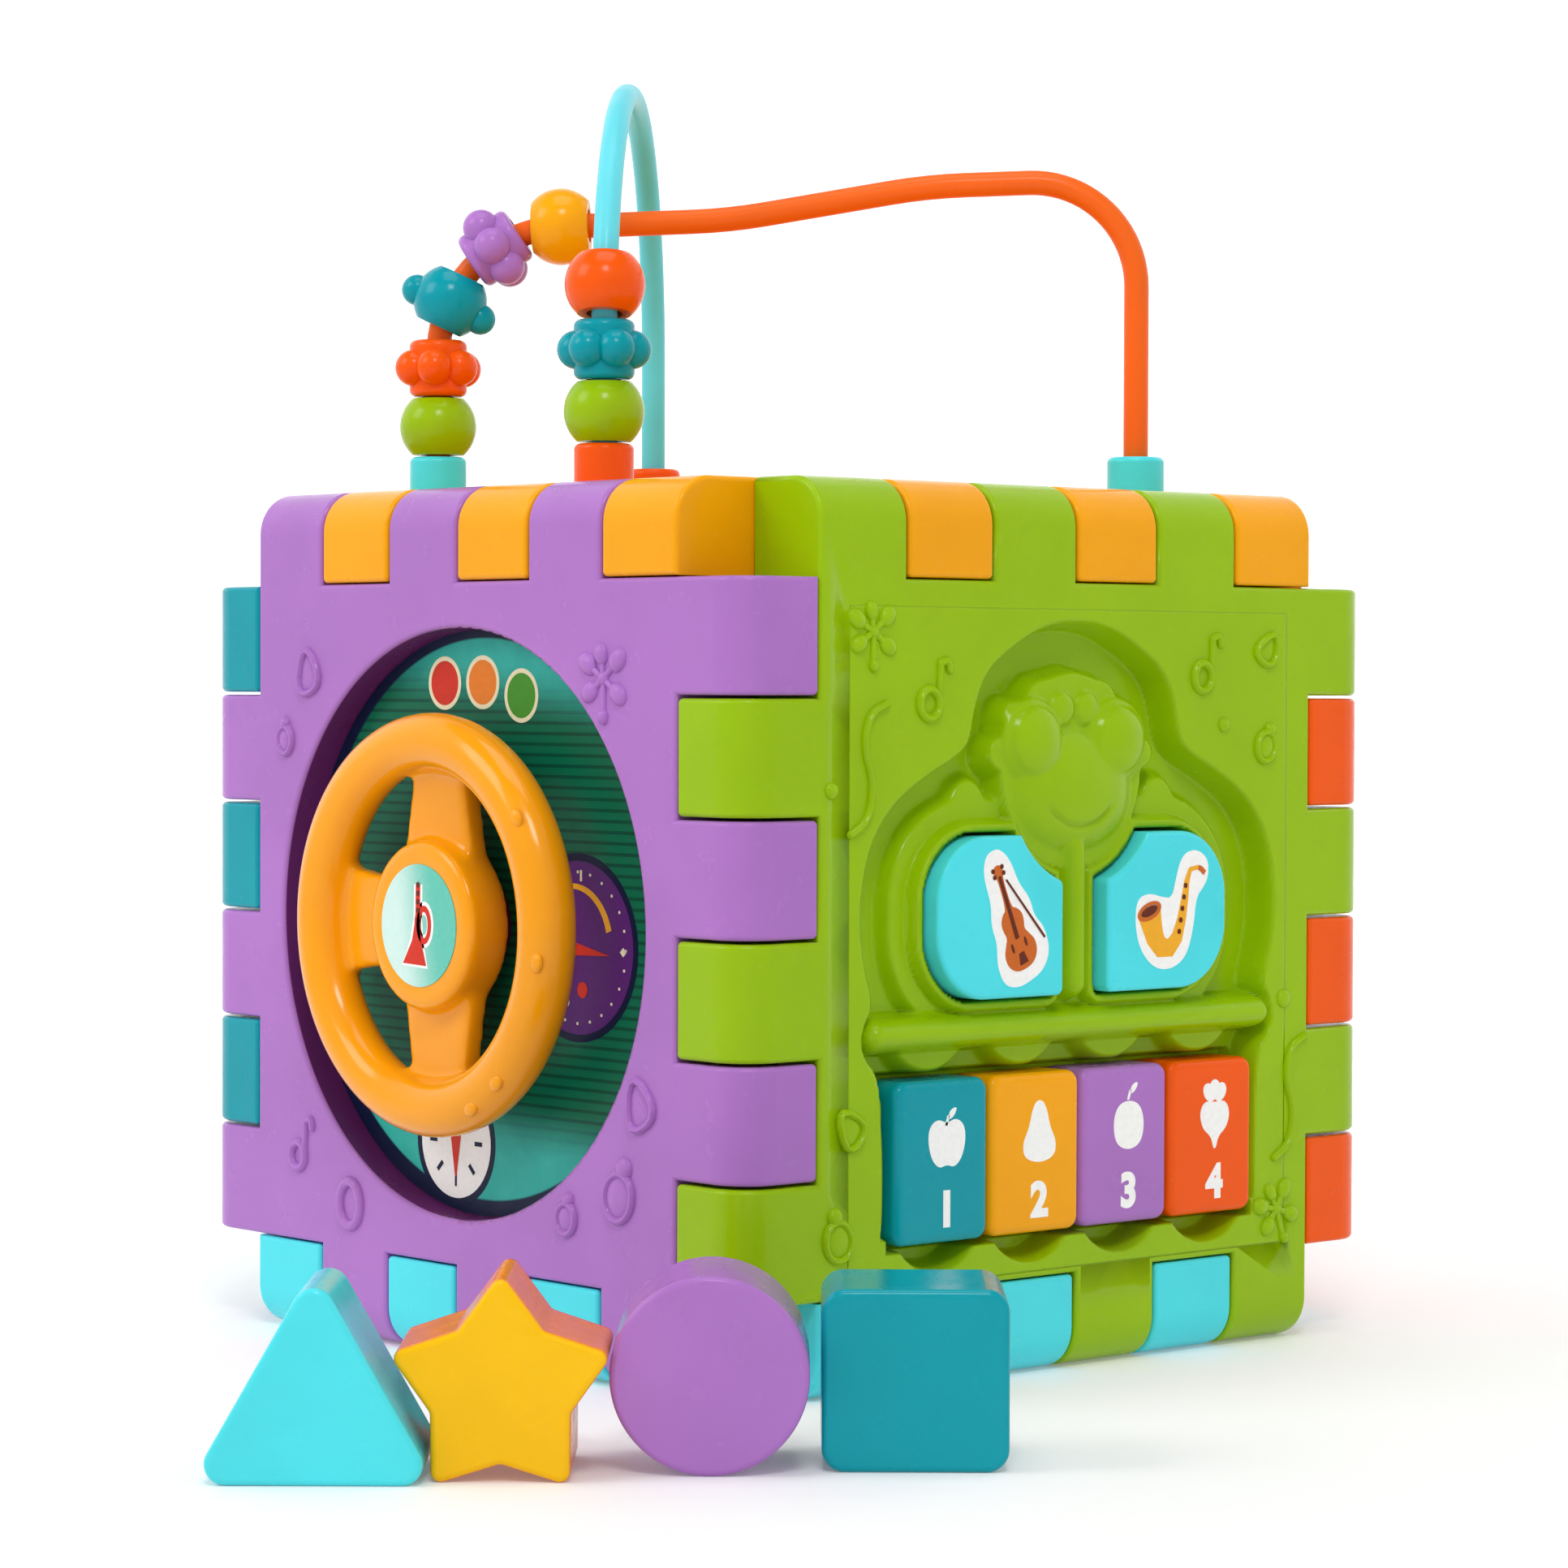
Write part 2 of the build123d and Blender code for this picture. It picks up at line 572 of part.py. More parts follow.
with BuildPart() as power_switch:
    rest = (SWITCH_SPOT[0] - SWITCH_TRAVEL / 2, SWITCH_SPOT[1])
    with BuildSketch(RIGHT.offset(-TRAY + COVER + 0.2)):
        with Locations(rest):
            Rectangle(20, 8)
    extrude(amount=1.5)
    with BuildSketch(RIGHT.offset(-TRAY + COVER + 0.2)):
        with Locations(rest):
            SlotOverall(7, 4)
    extrude(amount=-COVER - 2)
power_switch.part.label = "power_switch"
export_step(power_switch.part, "parts/power_switch.step")

# ------------------------------------------------------------- lid and its maze

WIRE_R = 2.6
RAIL_REACH = 74.0       # rail wire's feet, out from the middle along the lid's diagonal
RAIL = [(-74.0, 56.4), (-12.0, 58.6), (30.0, 65.6), (74.0, 67.0)]   # corners, above the lid
RAIL_BENDS = (27.2, 120.0, 120.0, 22.0)
ARCH_R = 54.0           # radius of the arch wire, and half the spacing of its feet
ARCH_LEG = 30.4         # straight legs, above the lid
ARCH_SHIFT = -33.0      # the arch stands this far from the middle, along the rail
SOCKET_R = 6.0
SOCKET = 8.5
WIRE_END = 12.0         # depth of the wire ends under the lid

RAIL_PLANE = Plane(origin=(0, 0, CUBE), x_dir=(1, 1, 0), z_dir=(1, -1, 0))
ARCH_PLANE = Plane(origin=(ARCH_SHIFT / math.sqrt(2), ARCH_SHIFT / math.sqrt(2), CUBE),
                   x_dir=(1, -1, 0), z_dir=(-1, -1, 0))
RAIL_FEET = [RAIL_PLANE.from_local_coords((s * RAIL_REACH, 0, 0)) for s in (-1, 1)]
ARCH_FEET = [ARCH_PLANE.from_local_coords((s * ARCH_R, 0, 0)) for s in (-1, 1)]

with BuildPart() as bead_panel:
    with Locations(TOP.location):
        add(blank.part)
    for foot in RAIL_FEET + ARCH_FEET:
        with BuildSketch(TOP.offset(-WALL / 2)):
            with Locations((foot.X, foot.Y)):
                Circle(WIRE_R + 1.4 * WALL)
        extrude(amount=-WIRE_END + WALL / 2)
        with BuildSketch(TOP):
            with Locations((foot.X, foot.Y)):
                Circle(WIRE_R + 0.1)
        extrude(amount=-WIRE_END, mode=Mode.SUBTRACT)
bead_panel.part.label = "bead_panel"
export_step(bead_panel.part, "parts/bead_panel.step")

with BuildPart() as orange_wire:
    with BuildLine(RAIL_PLANE) as rail_path:
        FilletPolyline((-RAIL_REACH, -WIRE_END), *RAIL, (RAIL_REACH, -WIRE_END),
                       radius=RAIL_BENDS)
    with BuildSketch(Plane(origin=rail_path.wire() @ 0, z_dir=rail_path.wire() % 0)):
        Circle(WIRE_R)
    sweep(path=rail_path.line)
    for foot in RAIL_FEET:
        with BuildSketch(Plane(origin=(foot.X, foot.Y, CUBE - WIRE_END))):
            Circle(SCREW_R + SLACK)
        extrude(amount=8, mode=Mode.SUBTRACT)
orange_wire.part.label = "orange_wire"
export_step(orange_wire.part, "parts/orange_wire.step")

with BuildPart() as cyan_wire:
    with BuildLine(ARCH_PLANE) as arch_path:
        Line((ARCH_R, -WIRE_END), (ARCH_R, ARCH_LEG))
        CenterArc((0, ARCH_LEG), ARCH_R, 0, 180)
        Line((-ARCH_R, ARCH_LEG), (-ARCH_R, -WIRE_END))
    with BuildSketch(Plane(origin=arch_path.wire() @ 0, z_dir=arch_path.wire() % 0)):
        Circle(WIRE_R)
    sweep(path=arch_path.line)
    for foot in ARCH_FEET:
        with BuildSketch(Plane(origin=(foot.X, foot.Y, CUBE - WIRE_END))):
            Circle(SCREW_R + SLACK)
        extrude(amount=8, mode=Mode.SUBTRACT)
cyan_wire.part.label = "cyan_wire"
export_step(cyan_wire.part, "parts/cyan_wire.step")

for name, feet in (("cyan_sockets", RAIL_FEET), ("orange_sockets", ARCH_FEET)):
    with BuildPart() as sockets:
        for foot in feet:
            with BuildSketch(Plane(origin=(foot.X, foot.Y, CUBE))):
                Circle(SOCKET_R)
                Circle(WIRE_R + 0.1, mode=Mode.SUBTRACT)
            extrude(amount=SOCKET)
        crowns = sockets.edges().filter_by(GeomType.CIRCLE).group_by(Axis.Z)[-1]
        fillet(crowns.filter_by(lambda e: e.radius > SOCKET_R - 0.1), 1.2)
    sockets.part.label = name
    export_step(sockets.part, f"parts/{name}.step")

with BuildPart() as wire_screws:
    for foot in RAIL_FEET + ARCH_FEET:
        under = Plane(origin=(foot.X, foot.Y, CUBE - WIRE_END), z_dir=(0, 0, -1))
        add(screw(under, 7, head_r=WIRE_R + 1.4))
wire_screws.part.label = "wire_screws"
export_step(wire_screws.part, "parts/wire_screws.step")

# ------------------------------------------------------------------------ beads

BEAD_R = 8.1
BEAD_L = 12.0
BORE_R = 3.6
BEAD_AIR = 0.4


def ball():
    """A barrel bead: a ball cut flat at both ends."""
    Sphere(BEAD_R)
    Cylinder(2 * BEAD_R, BEAD_L, mode=Mode.INTERSECT)


def bumpy():
    """A bead with six round bumps about its middle."""
    Cylinder(6.1, BEAD_L)
    fillet(edges().filter_by(GeomType.CIRCLE), 1.4)
    with PolarLocations(5.6, 6):
        Sphere(3.9)


def eared():
    """A barrel bead with two flat round ears."""
    Sphere(BEAD_R - 0.3)
    Cylinder(2 * BEAD_R, BEAD_L, mode=Mode.INTERSECT)
    with Locations((0, -7.4, -0.8), (0, 7.4, -0.8)):
        Sphere(3.3)


def on_rail_bend(turn):
    """Where a bead sits on the rail's first bend, turn degrees up from its start."""
    centre_u = RAIL[0][0] + RAIL_BENDS[0]
    slope = math.atan2(RAIL[1][1] - RAIL[0][1], RAIL[1][0] - RAIL[0][0])
    centre_v = RAIL[0][1] + RAIL_BENDS[0] * (math.tan(slope) - 1 / math.cos(slope))
    a = math.radians(180 - turn)
    return (centre_u + RAIL_BENDS[0] * math.cos(a), centre_v + RAIL_BENDS[0] * math.sin(a)), a


def bead_plane(wire, spot, tangent_angle):
    """A plane across the wire at a spot, its normal along the wire."""
    along = wire.from_local_coords((math.cos(tangent_angle), math.sin(tangent_angle), 0))
    along = along - wire.from_local_coords((0, 0, 0))
    return Plane(origin=wire.from_local_coords((*spot, 0)), x_dir=wire.z_dir, z_dir=along)


FIRST = SOCKET + BEAD_AIR + BEAD_L / 2
SECOND = FIRST + BEAD_L + BEAD_AIR
UP = math.pi / 2
RAIL_SLOPE = math.degrees(math.atan2(RAIL[1][1] - RAIL[0][1], RAIL[1][0] - RAIL[0][0]))
RAIL_TURNS = [90 - RAIL_SLOPE - 31.5 * k for k in (2, 1, 0)]   # beads on the rail's bend
ARCH_TURN = 10.6                    # top bead on the arch
arch_a = math.radians(ARCH_TURN)
arch_spot = (ARCH_R * math.cos(arch_a), ARCH_LEG + ARCH_R * math.sin(arch_a))

bead_places = {
    "arch_bead_green": (ball, bead_plane(ARCH_PLANE, (ARCH_R, FIRST), UP)),
    "arch_bead_teal": (bumpy, bead_plane(ARCH_PLANE, (ARCH_R, SECOND), UP)),
    "arch_bead_orange": (ball, bead_plane(ARCH_PLANE, arch_spot, UP + arch_a)),
    "rail_bead_green": (ball, bead_plane(RAIL_PLANE, (-RAIL_REACH, FIRST), UP)),
    "rail_bead_orange": (bumpy, bead_plane(RAIL_PLANE, (-RAIL_REACH, SECOND), UP)),
}
for name, shape, turn in zip(("teal", "purple", "yellow"), (eared, bumpy, ball), RAIL_TURNS):
    spot, angle = on_rail_bend(turn)
    bead_places[f"rail_bead_{name}"] = (shape, bead_plane(RAIL_PLANE, spot, angle - UP))

for name, (shape, plane) in bead_places.items():
    with BuildPart() as shaped:
        shape()
        Cylinder(BORE_R, 2 * BEAD_L, mode=Mode.SUBTRACT)
    with BuildPart() as bead:
        with Locations(plane.location):
            add(shaped.part)
    bead.part.label = name
    export_step(bead.part, f"parts/{name}.step")
    middle = plane.origin
    print(name, "centre", [round(c, 3) for c in middle], "axis",
          [round(c, 5) for c in plane.z_dir])

# ------------------------------------------------------------------ shape blocks

BLOCK_DEEP = 28.0
BLOCK_WALL = 1.8
TRIANGLE_W, TRIANGLE_H = 36.0, 33.0
STAR_R, STAR_INNER = 19.4, 12.6
DISC_R = 17.2
SQUARE_W, SQUARE_H = 32.4, 31.6
BLOCK_TURN = math.radians(48.5)     # the blocks' faces look along this heading
BLOCK_SPOTS = {"triangle": (95, -189.5), "star": (112.8, -163.4),
               "disc": (131.5, -132.7), "square": (151.5, -103.1)}


def block_outline(kind, grow=0.0):
    """One block's face, centred, and larger all round by grow."""
    with BuildSketch(mode=Mode.PRIVATE) as outline:
        if kind == "triangle":
            low, high = -TRIANGLE_H / 2, TRIANGLE_H / 2 + 2.6
            wide = TRIANGLE_W / 2 + 3.1
            with BuildLine():
                Polyline((-wide, low), (wide, low), (0, high + 1.6), close=True)
            make_face()
            fillet(outline.vertices(), 3.6)
        elif kind == "star":
            with BuildLine():
                corners = [(radius * math.sin(k * math.pi / 5), radius * math.cos(k * math.pi / 5))
                           for k, radius in enumerate([STAR_R + 0.8, STAR_INNER] * 5)]
                Polyline(*corners, close=True)
            make_face()
            fillet(outline.vertices(), 1.8)
        elif kind == "disc":
            Circle(DISC_R)
        else:
            RectangleRounded(SQUARE_W, SQUARE_H, 4)
        if grow:
            offset(amount=grow)
    add(outline.sketch)


for kind, (x, y) in BLOCK_SPOTS.items():
    heading = (math.sin(BLOCK_TURN), -math.cos(BLOCK_TURN), 0)
    with BuildPart() as trial:
        with BuildSketch(Plane.XZ):
            block_outline(kind)
        extrude(amount=1)
    lift = -trial.part.bounding_box().min.Z
    face = Plane(origin=(x, y, lift), x_dir=(math.cos(BLOCK_TURN), math.sin(BLOCK_TURN), 0),
                 z_dir=heading)
    with BuildPart() as block:
        with BuildSketch(face):
            block_outline(kind)
        extrude(amount=-BLOCK_DEEP + BLOCK_WALL)
        rounded = block.faces().sort_by(Axis(face.origin, face.z_dir))[-1]
        fillet(rounded.edges(), 1.2)
        with BuildSketch(face.offset(-BLOCK_WALL)):
            block_outline(kind, -BLOCK_WALL)
        extrude(amount=-BLOCK_DEEP, mode=Mode.SUBTRACT)
    block.part.label = f"block_{kind}"
    export_step(block.part, f"parts/block_{kind}.step")
    with BuildPart() as block_back:
        with BuildSketch(face.offset(-BLOCK_DEEP + BLOCK_WALL)):
            block_outline(kind)
        extrude(amount=-BLOCK_WALL)
        rounded = block_back.faces().sort_by(Axis(face.origin, face.z_dir))[0]
        fillet(rounded.edges(), 1.0)
        with BuildSketch(face.offset(-BLOCK_DEEP + BLOCK_WALL)):
            block_outline(kind, -BLOCK_WALL - 0.1)
        extrude(amount=4)
    block_back.part.label = f"block_{kind}_back"
    export_step(block_back.part, f"parts/block_{kind}_back.step")

# ----------------------------------------------------------------- sorter panel

SORT_CLEAR = 1.2        # play of a block in its hole
SORT_SPOTS = {"triangle": (-29, 29), "star": (29, 29), "disc": (-29, -29), "square": (29, -29)}
COLLAR = 6.0            # depth of the guide collar behind each hole

with BuildPart() as sorter_panel:
    with Locations(LEFT.location):
        add(blank.part)
    for kind, spot in SORT_SPOTS.items():
        centre = Plane(origin=LEFT.from_local_coords((*spot, 0)), x_dir=LEFT.x_dir,
                       z_dir=LEFT.z_dir)
        with BuildSketch(centre.offset(-WALL / 2)):
            block_outline(kind, SORT_CLEAR + 1.6)
        extrude(amount=-COLLAR)
        with BuildSketch(centre):
            block_outline(kind, SORT_CLEAR)
        extrude(amount=-EDGE, mode=Mode.SUBTRACT)
sorter_panel.part.label = "sorter_panel"
export_step(sorter_panel.part, "parts/sorter_panel.step")

# ------------------------------------------------------------- gear panel, gears

MODULE = 4.2
ADDENDUM, DEDENDUM = 0.85 * MODULE, 1.1 * MODULE
PRESSURE = math.radians(25)
BACKLASH = 0.5
GEAR_ROOM_R = 61.0      # rounded square recess
GEAR_RECESS = 9.0
GEAR_BACK, GEAR_FRONT = 8.7, 1.0
POSTS_R = 4.0
TEETH = {"large": 14, "middle": 11, "small": 8}
LARGE_SPOT = (-26.0, 14.0)
TO_MIDDLE, TO_SMALL = math.radians(-35), math.radians(60)


def stepped(spot, teeth_a, teeth_b, angle):
    """The centre of the gear that meshes with the gear at spot."""
    reach = MODULE * (teeth_a + teeth_b) / 2
    return (spot[0] + reach * math.cos(angle), spot[1] + reach * math.sin(angle))


MIDDLE_SPOT = stepped(LARGE_SPOT, TEETH["large"], TEETH["middle"], TO_MIDDLE)
SMALL_SPOT = stepped(MIDDLE_SPOT, TEETH["middle"], TEETH["small"], TO_SMALL)
GEAR_SPOTS = {"large": LARGE_SPOT, "middle": MIDDLE_SPOT, "small": SMALL_SPOT}


def mesh_angles():
    """Angles of one tooth of each gear so that all three are in mesh."""
    pitch = {name: 2 * math.pi / count for name, count in TEETH.items()}
    large = TO_MIDDLE
    middle = TO_MIDDLE + math.pi + pitch["middle"] / 2
    phase = (TO_SMALL - middle) / pitch["middle"]
    small = TO_SMALL + math.pi - (0.5 - phase) * pitch["small"]
    return {"large": large, "middle": middle, "small": small}


def gear_points(count, first):
    """Corners of a gear outline with involute flanks."""
    pitch_r = MODULE * count / 2
    base_r = pitch_r * math.cos(PRESSURE)
    tip_r, root_r = pitch_r + ADDENDUM, pitch_r - DEDENDUM
    half_tooth = math.pi / (2 * count) - BACKLASH / (2 * pitch_r)

    def flank(radius):
        """Half the tooth's angle at a radius."""
        press = math.acos(min(1.0, base_r / radius))
        return half_tooth + (math.tan(PRESSURE) - PRESSURE) - (math.tan(press) - press)

    low = max(root_r + 0.6, base_r)
    steps = [low + (tip_r - low) * k / 4 for k in range(5)]
    rise = [(root_r, flank(low) + 0.25 / root_r)] + [(r, flank(r)) for r in steps]
    points = []
    for tooth in range(count):
        middle = first + 2 * math.pi * tooth / count
        points += [(r * math.cos(middle - a), r * math.sin(middle - a)) for r, a in rise]
        points += [(r * math.cos(middle + a), r * math.sin(middle + a)) for r, a in rise[::-1]]
    return points


with BuildPart() as gear_panel:
    with Locations(BACK.location):
        add(blank.part)
    with BuildSketch(BACK.offset(-WALL / 2)):
        RectangleRounded(2 * GEAR_ROOM_R + 2 * WALL, 2 * GEAR_ROOM_R + 2 * WALL, 22)
    extrude(amount=-GEAR_RECESS - WALL / 2)
    with BuildSketch(BACK):
        RectangleRounded(2 * GEAR_ROOM_R, 2 * GEAR_ROOM_R, 20)
    extrude(amount=-GEAR_RECESS, mode=Mode.SUBTRACT)
    with BuildSketch(BACK.offset(-GEAR_RECESS)):
        with Locations(*GEAR_SPOTS.values()):
            Circle(POSTS_R)
    extrude(amount=GEAR_RECESS - 3)
    with BuildSketch(BACK.offset(-GEAR_RECESS - WALL)):
        with Locations(*GEAR_SPOTS.values()):
            Circle(POSTS_R)
    extrude(amount=-4)
    with BuildSketch(BACK):
        with Locations(*GEAR_SPOTS.values()):
            Circle(SCREW_R + SLACK)
    extrude(amount=-13, mode=Mode.SUBTRACT)
gear_panel.part.label = "gear_panel"
export_step(gear_panel.part, "parts/gear_panel.step")

tooth_angles = mesh_angles()
for name, spot in GEAR_SPOTS.items():
    centre = Plane(origin=BACK.offset(-GEAR_BACK).from_local_coords((*spot, 0)),
                   x_dir=BACK.x_dir, z_dir=BACK.z_dir)
    with BuildPart() as gear:
        with BuildSketch(centre):
            with BuildLine():
                Polyline(*gear_points(TEETH[name], tooth_angles[name]), close=True)
            make_face()
            Circle(POSTS_R + SHAFT_PLAY, mode=Mode.SUBTRACT)
        extrude(amount=GEAR_BACK - GEAR_FRONT)
        with BuildSketch(centre.offset(GEAR_BACK - 3.2)):
            Circle(8)
        extrude(amount=GEAR_BACK, mode=Mode.SUBTRACT)
    gear.part.label = f"gear_{name}"
    export_step(gear.part, f"parts/gear_{name}.step")
    print(f"gear_{name}", "centre", [round(c, 3) for c in centre.origin])

with BuildPart() as gear_caps:
    for spot in GEAR_SPOTS.values():
        with BuildSketch(BACK.offset(-3)):
            with Locations(spot):
                Circle(7)
                Circle(SCREW_R + SLACK, mode=Mode.SUBTRACT)
        extrude(amount=1.5)
gear_caps.part.label = "gear_caps"
export_step(gear_caps.part, "parts/gear_caps.step")

with BuildPart() as gear_screws:
    for spot in GEAR_SPOTS.values():
        on_cap = Plane(origin=BACK.offset(-1.5).from_local_coords((*spot, 0)),
                       x_dir=BACK.x_dir, z_dir=BACK.z_dir)
        add(screw(on_cap, 9))
gear_screws.part.label = "gear_screws"
export_step(gear_screws.part, "parts/gear_screws.step")

# ------------------------------------------------------------------- base panel

with BuildPart() as base_panel:
    with Locations(BASE.location):
        add(blank.part)
    with BuildSketch(BASE):
        Circle(52)
        Circle(46, mode=Mode.SUBTRACT)
    extrude(amount=-1, mode=Mode.SUBTRACT)
base_panel.part.label = "base_panel"
export_step(base_panel.part, "parts/base_panel.step")
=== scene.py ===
import math

import bmesh
import bpy
import numpy as np
from mathutils import Matrix, Vector


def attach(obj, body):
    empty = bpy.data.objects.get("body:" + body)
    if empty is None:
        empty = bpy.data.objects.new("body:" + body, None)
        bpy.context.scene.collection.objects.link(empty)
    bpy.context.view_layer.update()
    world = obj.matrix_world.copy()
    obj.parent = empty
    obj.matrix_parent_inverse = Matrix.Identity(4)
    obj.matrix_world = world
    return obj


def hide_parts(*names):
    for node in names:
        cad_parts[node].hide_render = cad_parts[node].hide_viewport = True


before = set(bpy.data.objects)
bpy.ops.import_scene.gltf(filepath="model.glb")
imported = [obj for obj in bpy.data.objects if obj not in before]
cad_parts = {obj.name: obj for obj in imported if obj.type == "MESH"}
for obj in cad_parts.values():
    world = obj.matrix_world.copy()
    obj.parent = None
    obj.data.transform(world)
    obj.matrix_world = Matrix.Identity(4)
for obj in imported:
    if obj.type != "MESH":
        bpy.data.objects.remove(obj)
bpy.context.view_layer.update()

MM = 0.001
HALF = 87.5             # half the cube's side, in mm, as every size below

# Each face of the cube: its centre, its u and v directions and its outward normal.
FACES = {
    "front": ((0, -HALF, HALF), (1, 0, 0), (0, 0, 1), (0, -1, 0)),
    "right": ((HALF, 0, HALF), (0, 1, 0), (0, 0, 1), (1, 0, 0)),
    "back": ((0, HALF, HALF), (-1, 0, 0), (0, 0, 1), (0, 1, 0)),
    "left": ((-HALF, 0, HALF), (0, -1, 0), (0, 0, 1), (-1, 0, 0)),
    "top": ((0, 0, 2 * HALF), (1, 0, 0), (0, 1, 0), (0, 0, 1)),
}


def on_face(face, u, v, out=0.0):
    """The point at (u, v) on a face of the cube, out mm proud of it, in metres."""
    origin, across, up, normal = (Vector(a) for a in FACES[face])
    return (origin + across * u + up * v + normal * out) * MM


# ---------------------------------------------------------------- node materials


class Nodes:
    """A new material and short ways to add and link its nodes."""

    def __init__(self, name):
        self.material = bpy.data.materials.new(name)
        self.material.use_nodes = True
        self.tree = self.material.node_tree
        self.shader = self.tree.nodes["Principled BSDF"]

    def put(self, kind, inputs=(), **settings):
        """Adds a node; inputs are (socket, value or output) pairs."""
        node = self.tree.nodes.new(kind)
        for key, value in settings.items():
            setattr(node, key, value)
        for socket, value in inputs:
            self.give(node.inputs[socket], value)
        return node

    def give(self, socket, value):
        """Links an output to a socket, or sets the socket to a constant."""
        if isinstance(value, bpy.types.NodeSocket):
            self.tree.links.new(value, socket)
        else:
            socket.default_value = value

    def math(self, operation, a, b=0.0, c=0.0):
        return self.put("ShaderNodeMath", ((0, a), (1, b), (2, c)), operation=operation).outputs[0]

    def position(self):
        """The object coordinates, in metres, and their three parts."""
        point = self.put("ShaderNodeTexCoord").outputs["Object"]
        parts = self.put("ShaderNodeSeparateXYZ", ((0, point),)).outputs
        return point, parts

    def noise(self, point, scale, detail=2.0):
        return self.put("ShaderNodeTexNoise", (("Vector", point), ("Scale", scale),
                                               ("Detail", detail))).outputs["Fac"]

    def blend(self, factor, a, b):
        """A colour between a and b."""
        node = self.put("ShaderNodeMix", ((0, factor), (6, a), (7, b)), data_type="RGBA")
        return node.outputs[2]

    def span(self, value, low, high, to_low, to_high):
        """value mapped smoothly from low..high to to_low..to_high."""
        return self.put("ShaderNodeMapRange", ((0, value), (1, low), (2, high), (3, to_low),
                                               (4, to_high)),
                        interpolation_type="SMOOTHSTEP").outputs[0]


def linear(red, green, blue):
    """A colour given in display values, 0 to 255, as the shader wants it."""
    def channel(c):
        c /= 255
        return c / 12.92 if c <= 0.04045 else ((c + 0.055) / 1.055) ** 2.4
    return (channel(red), channel(green), channel(blue), 1.0)


def shaded(colour, factor):
    return tuple(c * factor for c in colour[:3]) + (1.0,)


def plastic(name, colour, rough=0.22, coat=0.12, grain=1.0, depth=0.92, gloss=0.13):
    """Glossy moulded plastic: faint flow marks in its colour, and a fine moulded grain."""
    n = Nodes(name)
    point, _ = n.position()
    flow = n.noise(point, 26.0, 3.0)
    fine = n.noise(point, 2400.0, 2.0)
    cloud = n.noise(point, 160.0, 3.0)
    n.give(n.shader.inputs["Base Color"],
           n.blend(n.span(flow, 0.3, 0.7, 0.0, 1.0), colour, shaded(colour, depth)))
    n.give(n.shader.inputs["Roughness"], n.span(cloud, 0.3, 0.7, rough - 0.03, rough + 0.06))
    n.shader.inputs["Specular IOR Level"].default_value = gloss
    n.shader.inputs["Coat Weight"].default_value = coat
    n.shader.inputs["Coat Roughness"].default_value = 0.1
    height = n.math("MULTIPLY_ADD", cloud, 1.4, fine)
    bump = n.put("ShaderNodeBump", (("Height", height), ("Strength", 0.10 * grain),
                                    ("Distance", 0.00005)))
    n.give(n.shader.inputs["Normal"], bump.outputs[0])
    return n.material


def printed(name, colour, rough=0.35):
    """Ink on a label, a little uneven."""
    n = Nodes(name)
    point, _ = n.position()
    speckle = n.noise(point, 900.0, 2.0)
    n.give(n.shader.inputs["Base Color"],
           n.blend(n.span(speckle, 0.35, 0.65, 0.0, 1.0), colour, shaded(colour, 0.96)))
    n.give(n.shader.inputs["Roughness"], n.span(speckle, 0.3, 0.7, rough - 0.05, rough + 0.08))
    n.shader.inputs["Specular IOR Level"].default_value = 0.15
    return n.material


def metal(name, colour, rough=0.3):
    """Plated or brushed metal."""
    n = Nodes(name)
    point, _ = n.position()
    streak = n.noise(point, 1300.0, 3.0)
    n.give(n.shader.inputs["Base Color"],
           n.blend(n.span(streak, 0.3, 0.7, 0.0, 1.0), colour, shaded(colour, 0.8)))
    n.give(n.shader.inputs["Roughness"], n.span(streak, 0.3, 0.7, rough - 0.06, rough + 0.12))
    n.shader.inputs["Metallic"].default_value = 1.0
    return n.material


PURPLE = linear(176, 118, 198)
GREEN = linear(152, 192, 4)
AMBER = linear(250, 168, 6)
WHEEL = linear(250, 162, 6)
YELLOW = linear(252, 194, 2)
TEAL = linear(0, 154, 168)
CYAN = linear(80, 226, 236)
ORANGE = linear(248, 90, 2)
WHITE = linear(251, 250, 248)
NAVY = linear(14, 24, 58)
RED = linear(214, 52, 34)

purple = plastic("purple_plastic", PURPLE)
green = plastic("green_plastic", GREEN)
amber = plastic("amber_plastic", AMBER)
wheel_amber = plastic("wheel_plastic", WHEEL, rough=0.18, coat=0.25, gloss=0.2)
teal = plastic("teal_plastic", TEAL)
cyan = plastic("cyan_plastic", CYAN)
orange = plastic("orange_plastic", ORANGE)
orange_coat = plastic("orange_coat", linear(246, 104, 22), rough=0.36, coat=0.1, grain=2.0)
cyan_coat = plastic("cyan_coat", linear(104, 218, 230), rough=0.36, coat=0.1, grain=2.0)
dark_plastic = plastic("dark_plastic", linear(34, 34, 38), rough=0.4, coat=0.0)
silicone = plastic("silicone", linear(205, 205, 198), rough=0.6, coat=0.0)
board_green = plastic("board_green", linear(18, 92, 46), rough=0.4, coat=0.2)
cell_blue = plastic("cell_blue", linear(38, 78, 160), rough=0.3, coat=0.2)
steel = metal("zinc_steel", (0.72, 0.72, 0.74, 1))
white_ink = printed("white_ink", WHITE)
navy_ink = printed("navy_ink", NAVY)
red_ink = printed("red_ink", RED)
orange_ink = printed("orange_ink", linear(238, 132, 40))
green_ink = printed("green_ink", linear(72, 150, 40))
cream_ink = printed("cream_ink", linear(240, 232, 196))
yellow_ink = printed("yellow_ink", linear(246, 176, 42))
violet_ink = printed("violet_ink", linear(92, 38, 118))
brown_ink = printed("brown_ink", linear(206, 104, 38))
dark_ink = printed("dark_ink", linear(104, 42, 24))


